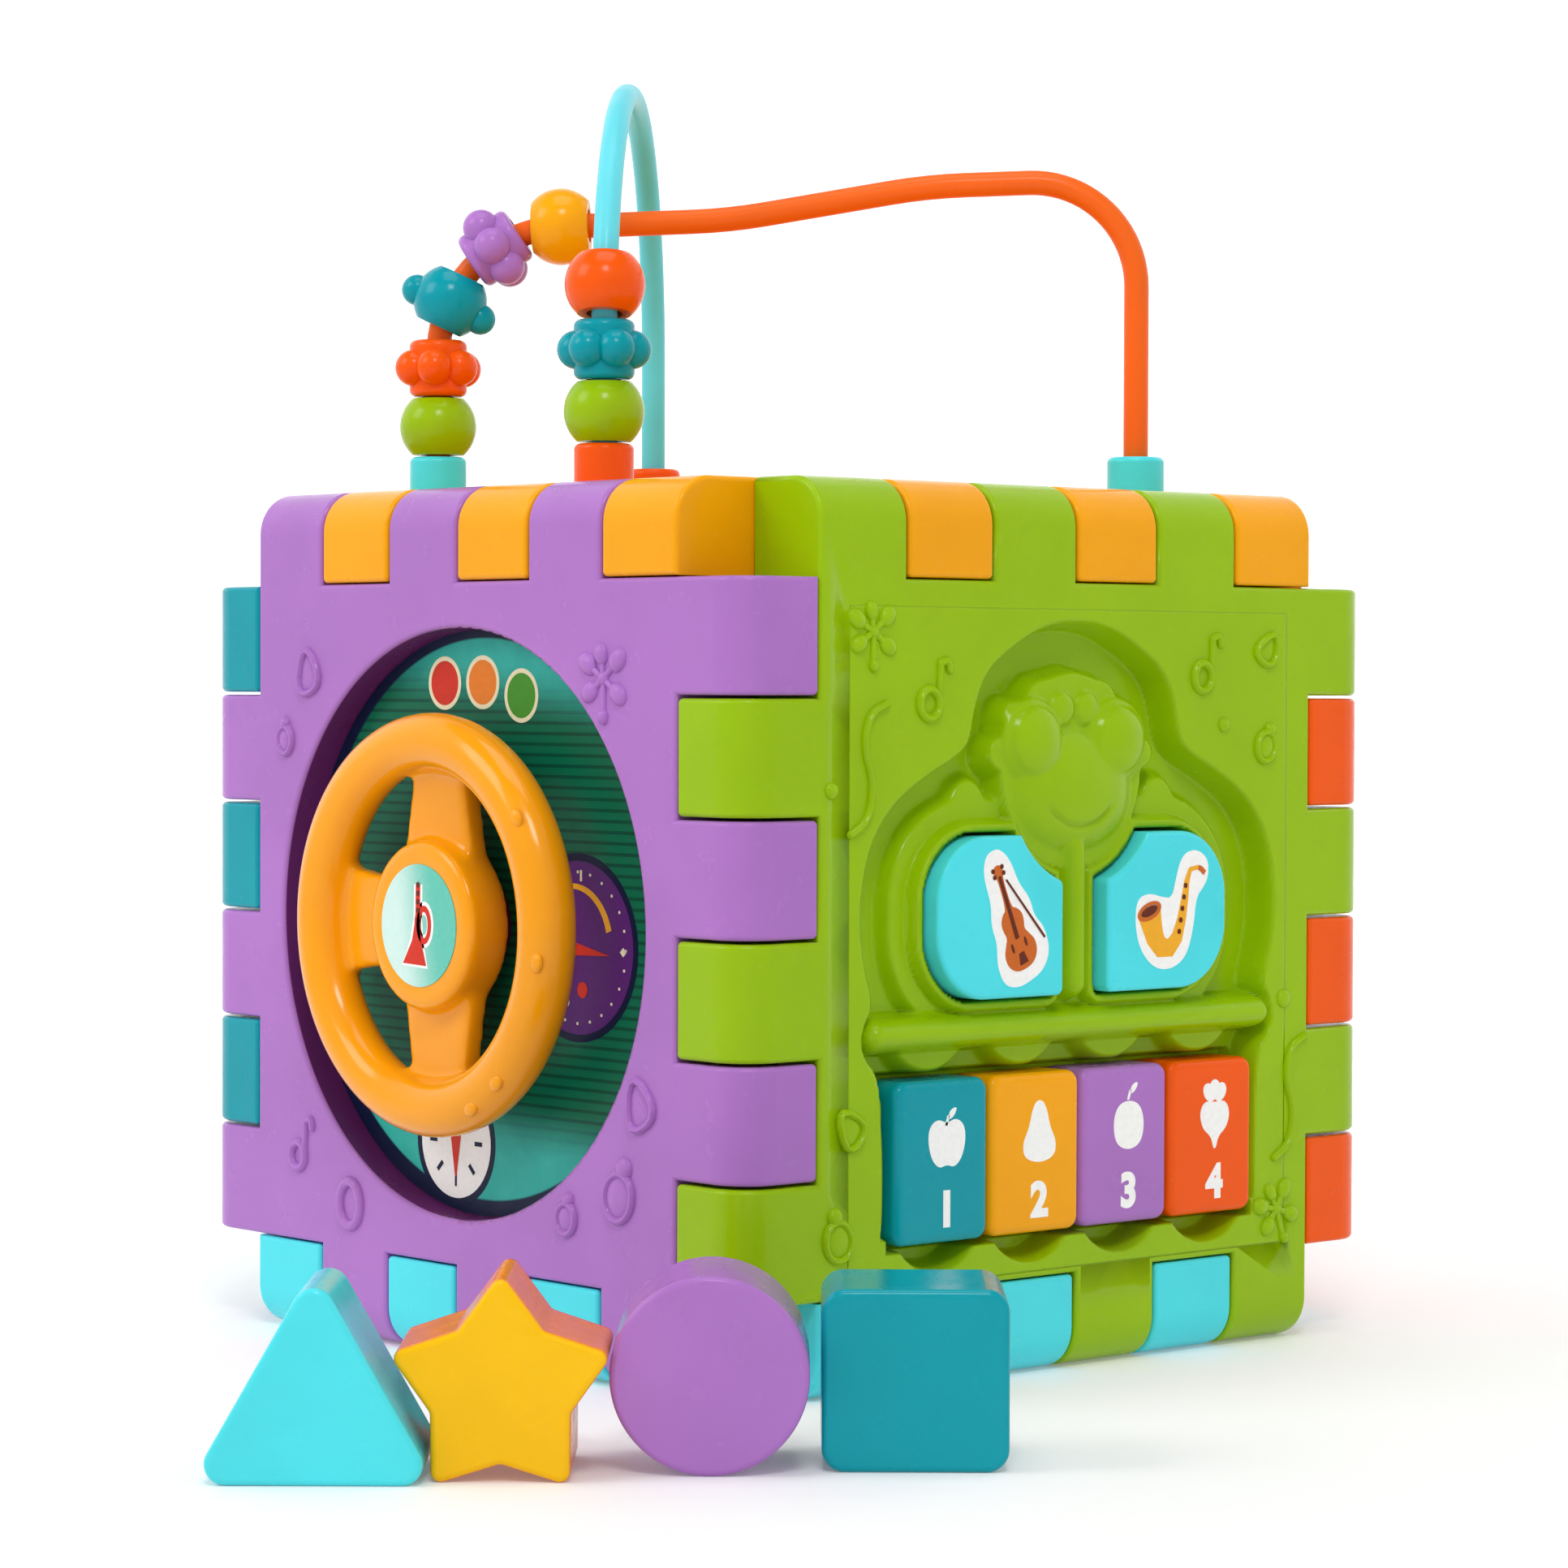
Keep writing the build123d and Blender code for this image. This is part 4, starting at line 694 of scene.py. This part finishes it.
print_piece("sax_bell", brown_ink, "wing_right", lambda m: (
    band(m, "right", turned(arc(0, 0, 2.5, count=24, squeeze=0.42), 20, 17.6, 2.9),
         turned(arc(0, 0, 3.5, count=24, squeeze=0.5), 20, 17.6, 2.9), WING_OUT + 0.12),
    slab(m, "right", ribbon([(33.6, 10.2), (32.6, 11.0), (31.8, 11.4)], [1.1, 1.1, 1.0]),
         WING_OUT + 0.12)))
print_piece("sax_keys", dark_ink, "wing_right", lambda m: (
    slab(m, "right", turned(arc(0, 0, 2.4, count=20, squeeze=0.4), 20, 17.6, 2.9), WING_OUT + 0.10),
    [slab(m, "right", arc(26.2 + 0.45 * k, -1.4 + 2.3 * k, 0.55, count=12), WING_OUT + 0.12)
     for k in range(5)]))

# Fruit pictures and numbers on the keys.
KEY_OUT = 1.6           # the keys' faces
APPLE = curved([(0, 3.4), (2.4, 4.4), (4.6, 3.0), (5.0, 0), (4.0, -3.4), (2.0, -5.2), (0, -4.5),
                (-2.0, -5.2), (-4.0, -3.4), (-5.0, 0), (-4.6, 3.0), (-2.4, 4.4)], 3)
PEAR = curved([(0.8, 6.4), (2.0, 4.6), (2.9, 1.0), (4.6, -1.8), (4.2, -4.8), (0, -6.0),
               (-4.2, -4.8), (-4.6, -1.8), (-2.9, 1.0), (-2.0, 4.6), (-0.8, 6.4)], 3)
PLUM = curved([(0, 5.0), (3.2, 4.0), (4.5, 0.4), (3.6, -3.8), (0, -5.2), (-3.6, -3.8),
               (-4.5, 0.4), (-3.2, 4.0)], 3)
RADISH = curved([(0, 3.0), (3.0, 3.4), (4.5, 1.0), (3.6, -2.2), (1.0, -4.0), (0.4, -6.4),
                 (-0.4, -6.4), (-1.0, -4.0), (-3.6, -2.2), (-4.5, 1.0), (-3.0, 3.4)], 3)
LEAF = curved([(0, 0), (1.6, 0.6), (2.6, 2.6), (0.6, 2.0)], 2)
STALK = [(-0.3, 0), (0.3, 0), (0.5, 2.0), (-0.1, 2.0)]
KEYS = (("teal", "teal", -37.5, APPLE, 3.0), ("yellow", "amber", -12.5, PEAR, 6.0),
        ("purple", "purple", 12.5, PLUM, 5.0), ("orange", "orange", 37.5, RADISH, 3.4))
for number, (word, tint, middle, fruit, crown) in enumerate(KEYS, 1):
    u, v = middle + 0.8, -39.6
    mesh = bmesh.new()
    slab(mesh, "right", turned(fruit, 0, u, v), KEY_OUT)
    if word == "orange":
        for lean, lift in ((-38, 0.0), (38, 0.02), (0, 0.04)):
            frond = arc(0, 2.6, 1.6, count=20, squeeze=1.3)
            slab(mesh, "right", turned(frond, lean, u, v + crown - 0.4), KEY_OUT + lift)
    elif word != "yellow":
        slab(mesh, "right", turned(LEAF, 0, u + 0.2, v + crown + 1.0), KEY_OUT)
        slab(mesh, "right", turned(STALK, -12, u - 0.2, v + crown), KEY_OUT)
    digit = bpy.data.curves.new(f"digit_{number}", "FONT")
    digit.body = str(number)
    digit.size = 0.0092
    digit.offset = 0.00045
    digit.extrude = 0.00004
    digit.align_x, digit.align_y = "CENTER", "CENTER"
    shape = bpy.data.objects.new(f"digit_{number}", digit)
    bpy.context.scene.collection.objects.link(shape)
    bpy.context.view_layer.update()
    flat = bpy.data.meshes.new_from_object(shape)
    bpy.data.objects.remove(shape)
    origin, across, up, normal = (Vector(a) for a in FACES["right"])
    turn = Matrix((across, up, normal)).transposed().to_4x4()
    turn.translation = on_face("right", u, -53.0, KEY_OUT + 0.03)
    flat.transform(turn)
    mesh.from_mesh(flat)
    bpy.data.meshes.remove(flat)
    finish_piece(f"key_print_{word}", mesh, white_ink, f"key_{word}")

# ------------------------------------------------------------------ the piano face


def smooth(value, low, high):
    """0 at low, 1 at high, smooth between."""
    t = np.clip((value - low) / (high - low), 0, 1)
    return t * t * (3 - 2 * t)


def from_outline(u, v, outline):
    """Distance to a closed outline, negative inside."""
    best = np.full(u.shape, 1e9)
    inside = np.zeros(u.shape, bool)
    for (a, b), (c, d) in zip(outline, outline[1:] + outline[:1]):
        eu, ev = c - a, d - b
        t = np.clip(((u - a) * eu + (v - b) * ev) / max(eu * eu + ev * ev, 1e-9), 0, 1)
        best = np.minimum(best, (u - a - t * eu) ** 2 + (v - b - t * ev) ** 2)
        if b != d:
            crossing = (b > v) != (d > v)
            inside ^= crossing & (u < (c - a) * (v - b) / (d - b) + a)
    return np.where(inside, -1, 1) * np.sqrt(best)


def from_disc(u, v, a, b, radius):
    """Distance to a disc about (a, b)."""
    return np.hypot(u - a, v - b) - radius


def from_capsule(u, v, a, b, c, d, radius):
    """Distance to a round-ended bar from (a, b) to (c, d)."""
    eu, ev = c - a, d - b
    t = np.clip(((u - a) * eu + (v - b) * ev) / (eu * eu + ev * ev), 0, 1)
    return np.hypot(u - a - t * eu, v - b - t * ev) - radius


def merged(*distances, soft=1.5):
    """Distance to shapes run together with soft corners."""
    result = distances[0]
    for other in distances[1:]:
        h = np.clip(0.5 + 0.5 * (other - result) / soft, 0, 1)
        result = other * (1 - h) + result * h - soft * h * (1 - h)
    return result


def upper(a, b, soft=0.5):
    """The higher of two surfaces, with a small fillet between them."""
    h = np.clip(0.5 + 0.5 * (a - b) / soft, 0, 1)
    return b * (1 - h) + a * h + soft * h * (1 - h)


POCKET = -7.0           # the pocket's floor, behind the panel's face
SHEET_BACK = 9.2        # how far behind the panel's face the carved sheet reaches
POCKET_HALF = [(0, 60.5), (7.5, 59.8), (14.7, 57), (24.5, 51), (27.8, 44), (29, 37), (32.5, 34),
               (40.5, 30.5), (49.5, 25), (55.5, 17), (57.8, 6), (57, -4), (54, -13), (56.8, -17.0),
               (57.2, -22), (52.5, -26.4), (51.6, -40), (51.6, -54), (52.2, -59.5)]


def from_wing(u, v):
    """Distance to the outline of the two wing buttons."""
    across, along = np.abs(u) - 23.2, v - 3.0
    corner = np.where(across > 0, 13.0, 1.5)
    a, b = np.abs(across) - 17.0 + corner, np.abs(along) - 15.8 + corner
    block = np.hypot(np.maximum(a, 0), np.maximum(b, 0)) + np.minimum(np.maximum(a, b), 0) - corner
    return np.maximum(block, -from_disc(u, v, 0, 29, 20.3))


def beetle_height(u, v):
    """The sculpted face of the piano panel: how far it stands out at (u, v)."""
    outline = curved(POCKET_HALF + [(-a, b) for a, b in POCKET_HALF[:0:-1]], 2)
    scallops = merged(*[from_disc(u, v, k * 25.0, -52.5, 12.2) for k in (-1.5, -0.5, 0.5, 1.5)],
                      soft=1.0)
    pocket = merged(from_outline(u, v, outline), scallops, soft=0.8)
    ground = POCKET * smooth(pocket, 0.5, -1.7)
    wing = from_wing(u, v)
    # stepped shell round the wings
    shell = merged(wing - 8.2, from_disc(np.abs(u), v, 26.5, 25.5, 5.2), soft=2.0)
    shell = np.maximum(shell, -v - 17.0)
    step = POCKET + 3.6 * smooth(shell, 0.6, -1.6)
    rim = POCKET + 6.3 * smooth(wing - 3.4, 0.5, -1.2)
    # head with its bumpy crown
    crown = [from_disc(np.abs(u), v, a, b, r) for a, b, r in ((0, 46.6, 4.6), (8.4, 45.4, 4.6),
                                                             (15.6, 41.4, 4.6), (19.6, 34.6, 4.2))]
    head = merged(from_disc(u, v, 0, 31, 20.5), *crown, soft=1.2)
    cap = POCKET + 5.6 * smooth(head, 0.5, -1.4)
    skull = -2.2 - 0.010 * (u ** 2 + (v - 35) ** 2) \
        - 6 * smooth(from_disc(u, v, 0, 33, 17.6), -1.5, 1.0)
    muzzle_reach = np.sqrt((u / 17.2) ** 2 + ((v - 27.2) / 12.8) ** 2)
    muzzle = -3.4 + 5.2 * np.sqrt(np.clip(1 - muzzle_reach ** 2.6, 0, 1)) - 9 * (muzzle_reach > 1)
    muzzle = muzzle - 0.8 * np.exp(-((np.hypot(u, v - 31.5) - 11.3) / 0.45) ** 2) \
        * smooth(v, 25.5, 22.5)
    eye_reach = np.hypot(np.abs(u) - 11.6, v - 37.2) / 8.8
    eyes = -2.8 + 5.2 * np.sqrt(np.clip(1 - eye_reach ** 2.2, 0, 1)) - 9 * (eye_reach > 1) \
        - 0.6 * np.exp(-((eye_reach - 0.80) / 0.05) ** 2)
    brow_reach = np.hypot(np.abs(u) - 3.4, v - 43.4) / 3.4
    brows = -1.2 + 1.3 * np.sqrt(np.clip(1 - brow_reach ** 2, 0, 1)) - 9 * (brow_reach > 1)
    # ridge between the wings, shelf bar and its scallops
    ridge = from_capsule(u, v, 0, 16.0, 0, -11.0, 3.7)
    ridge = POCKET + 8.4 * np.sqrt(np.clip(-ridge / 3.7, 0, 1) * (2 - np.clip(-ridge / 3.7, 0, 1)))
    bar = from_capsule(u, v, -53, -18.9, 53, -18.9, 3.8)
    bar = POCKET + 8.6 * np.clip(-bar / 3.8 * (2 + bar / 3.8), 0, 1) ** 0.42
    aprons = merged(*[from_disc(u, v, k * 25.0, -15.6, 12.2) for k in (-1.5, -0.5, 0.5, 1.5)],
                    soft=0.5)
    aprons = np.maximum(aprons, v + 18.0)
    apron = POCKET + 4.4 * smooth(aprons, 0.4, -1.8)
    height = ground
    for part in (step, rim, cap, skull, muzzle, brows, eyes, apron, ridge, bar):
        inside = np.where(pocket < -0.5, part, -50.0)
        height = upper(height, inside, 0.55)
    # slots that the wings and keys stand in
    keys = np.maximum(np.abs(u) - 50.2, np.abs(v + 43.5) - 16.2)
    slot_depth = smooth(np.minimum(wing, keys), 0.75, 0.3)
    return height * (1 - slot_depth) - 8.8 * slot_depth, np.minimum(wing, keys)


LOW_V, HIGH_V, WIDE = -67.0, 63.0, 61.0     # the carved sheet's edges
CELL = 0.5              # its grid


def piano_face():
    """The piano panel with its sculpted pocket: the moulded shell and a carved sheet in it."""
    us = np.linspace(-WIDE, WIDE, int(round(2 * WIDE / CELL)) + 1)
    vs = np.linspace(LOW_V, HIGH_V, int(round((HIGH_V - LOW_V) / CELL)) + 1)
    grid_u, grid_v = np.meshgrid(us, vs)
    height, opening = beetle_height(grid_u, grid_v)
    origin, across, up, normal = (np.array(a, float) for a in FACES["right"])

    front = (origin + grid_u[..., None] * across + grid_v[..., None] * up
             + height[..., None] * normal).reshape(-1, 3) * MM
    rows, cols = grid_u.shape
    index = np.arange(rows * cols).reshape(rows, cols)
    quads = np.stack((index[:-1, :-1], index[:-1, 1:], index[1:, 1:], index[1:, :-1]), -1)
    quads = quads[opening[:-1, :-1] > -1.0]
    data = bpy.data.meshes.new("piano_face")
    data.from_pydata(front, [], quads.tolist())
    data.shade_smooth()
    carved = bmesh.new()
    carved.from_mesh(data)
    bmesh.ops.delete(carved, geom=[p for p in carved.verts if not p.link_faces], context="VERTS")
    border = [e for e in carved.edges if e.is_boundary]
    walls = bmesh.ops.extrude_edge_only(carved, edges=border)["geom"]
    for vert in (g for g in walls if isinstance(g, bmesh.types.BMVert)):
        vert.co.x = (HALF - SHEET_BACK) * MM
    bpy.data.meshes.remove(data)
    # the moulded shell, with the carved sheet's place cut away
    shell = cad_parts["piano_panel"].data.copy()
    body = bpy.data.objects.new("shell", shell)
    cutter_mesh = bmesh.new()
    bmesh.ops.create_cube(cutter_mesh, size=1.0)
    size = Vector((20.0, 2 * WIDE, HIGH_V - LOW_V)) * MM
    middle = Vector((HALF + 0.8, 0, HALF + (HIGH_V + LOW_V) / 2)) * MM
    for vert in cutter_mesh.verts:
        vert.co = Vector(a * b for a, b in zip(vert.co, size)) + middle
    cutter_data = bpy.data.meshes.new("cutter")
    cutter_mesh.to_mesh(cutter_data)
    cutter_mesh.free()
    cutter = bpy.data.objects.new("cutter", cutter_data)
    for thing in (body, cutter):
        bpy.context.scene.collection.objects.link(thing)
    cut = body.modifiers.new("cut", "BOOLEAN")
    cut.operation, cut.solver, cut.object = "DIFFERENCE", "EXACT", cutter
    bpy.context.view_layer.update()
    ready = bpy.data.meshes.new_from_object(
        body.evaluated_get(bpy.context.evaluated_depsgraph_get()))
    for thing in (body, cutter):
        bpy.data.objects.remove(thing)
    carved.from_mesh(ready)
    piece = finish_piece("piano_face", carved, green, "cube", angle=60)
    weighted = piece.modifiers.new("weighted", "WEIGHTED_NORMAL")
    weighted.weight, weighted.keep_sharp = 100, True
    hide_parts("piano_panel")


piano_face()

# -------------------------------------------------------------- the steering wheel


def soft_wheel():
    """The wheel with its spokes melted into the rim and hub, and grip bumps on the rim."""
    form = bpy.data.objects.new("wheel_form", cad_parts["steering_wheel"].data.copy())
    bpy.context.scene.collection.objects.link(form)
    remesh = form.modifiers.new("remesh", "REMESH")
    remesh.mode, remesh.voxel_size = "VOXEL", 0.0007
    relax = form.modifiers.new("relax", "SMOOTH")
    relax.factor, relax.iterations = 0.5, 18
    bpy.context.view_layer.update()
    ready = bpy.data.meshes.new_from_object(
        form.evaluated_get(bpy.context.evaluated_depsgraph_get()))
    bpy.data.objects.remove(form)
    wheel = bmesh.new()
    wheel.from_mesh(ready)
    for angle in (-62, -48, -8, 34):
        t = math.radians(angle)
        dome(wheel, "front", 39.5 * math.cos(t), 39.5 * math.sin(t), 2.0, 1.5, 0.9,
             angle + 90, out=10.2)
    piece = finish_piece("wheel_skin", wheel, wheel_amber, "wheel", angle=70)
    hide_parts("steering_wheel")


soft_wheel()

# ------------------------------------------------------------- floor, light, camera

AZIMUTH, ELEVATION, ROLL = 48.545, 1.323, 0.192         # of the camera, in degrees


def backdrop():
    """A round white dish of paper: flat under the cube, curved up all round it. It glows with painted
    light, faintly in front of the cube and more strongly behind it.
    """
    flat, bend, wall = 1.3, 1.2, 3.2        # metres
    profile = [(0.3, 0.0), (0.8, 0.0), (flat, 0.0)]
    for k in range(1, 16):
        t = math.radians(6 * k)
        profile.append((flat + bend * math.sin(t), bend - bend * math.cos(t)))
    profile.append((flat + bend, wall))
    sheet = bmesh.new()
    count = 72
    rows = [[sheet.verts.new((reach * math.cos(2 * math.pi * k / count),
                              reach * math.sin(2 * math.pi * k / count), height))
             for k in range(count)] for reach, height in profile]
    sheet.faces.new(rows[0])
    for near, far in zip(rows, rows[1:]):
        for k in range(count):
            j = (k + 1) % count
            sheet.faces.new((near[k], near[j], far[j], far[k])[::-1])
    data = bpy.data.meshes.new("floor")
    sheet.to_mesh(data)
    sheet.free()
    data.shade_smooth()
    floor = bpy.data.objects.new("floor", data)
    bpy.context.scene.collection.objects.link(floor)
    paper = Nodes("studio_paper_glow")
    grey = paper.noise(paper.position()[0], 3.0)
    paper.give(paper.shader.inputs["Base Color"],
               paper.blend(grey, (0.84, 0.84, 0.84, 1), (0.88, 0.88, 0.88, 1)))
    paper.shader.inputs["Roughness"].default_value = 0.7
    paper.shader.inputs["Emission Color"].default_value = (1, 1, 1, 1)
    _, (x, y, _) = paper.position()
    behind = paper.math("SUBTRACT", paper.math("MULTIPLY", y, 0.663),
                        paper.math("MULTIPLY", x, 0.749))
    # painted light: the paper glows, weakest towards the camera and strongest behind the cube
    paper.give(paper.shader.inputs["Emission Strength"], paper.span(behind, -0.6, 1.4, 0.07, 0.56))
    data.materials.append(paper.material)


backdrop()

scene = bpy.context.scene
world = bpy.data.worlds.new("studio")
world.use_nodes = True
world.node_tree.nodes["Background"].inputs["Color"].default_value = (1, 1, 1, 1)
world.node_tree.nodes["Background"].inputs["Strength"].default_value = 0.16
scene.world = world


def softbox(name, place, aim, size, power):
    """A square area light that looks at aim."""
    lamp = bpy.data.lights.new(name, "AREA")
    lamp.shape, lamp.size, lamp.size_y, lamp.energy = "RECTANGLE", size[0], size[1], power
    holder = bpy.data.objects.new(name, lamp)
    holder.location = place
    holder.rotation_euler = (Vector(aim) - Vector(place)).to_track_quat("-Z", "Y").to_euler()
    scene.collection.objects.link(holder)


softbox("key", (-0.45, -1.1, 0.95), (0, 0, 0.1), (0.6, 0.6), 5)
softbox("fill", (0.95, -0.75, 1.3), (0, 0, 0.1), (0.4, 0.4), 7.5)
softbox("overhead", (0.1, -0.1, 1.3), (0, 0, 0.1), (0.7, 0.7), 4)

camera = bpy.data.cameras.new("camera")
camera.lens, camera.sensor_width = 102.3, 36.0
viewer = bpy.data.objects.new("camera", camera)
azimuth, elevation, roll = (math.radians(a) for a in (AZIMUTH, ELEVATION, ROLL))
back = Vector((math.sin(azimuth) * math.cos(elevation), -math.cos(azimuth) * math.cos(elevation),
               math.sin(elevation)))
right = (-back).cross(Vector((0, 0, 1))).normalized()
up = right.cross(-back)
tilted_right = right * math.cos(roll) + up * math.sin(roll)
tilted_up = up * math.cos(roll) - right * math.sin(roll)
pose = Matrix((tilted_right, tilted_up, back)).transposed().to_4x4()
pose.translation = Vector((708.30, -625.69, 136.13)) * MM
viewer.matrix_world = pose
scene.collection.objects.link(viewer)
scene.camera = viewer
scene.view_settings.view_transform = "Standard"
scene.view_settings.look = "None"
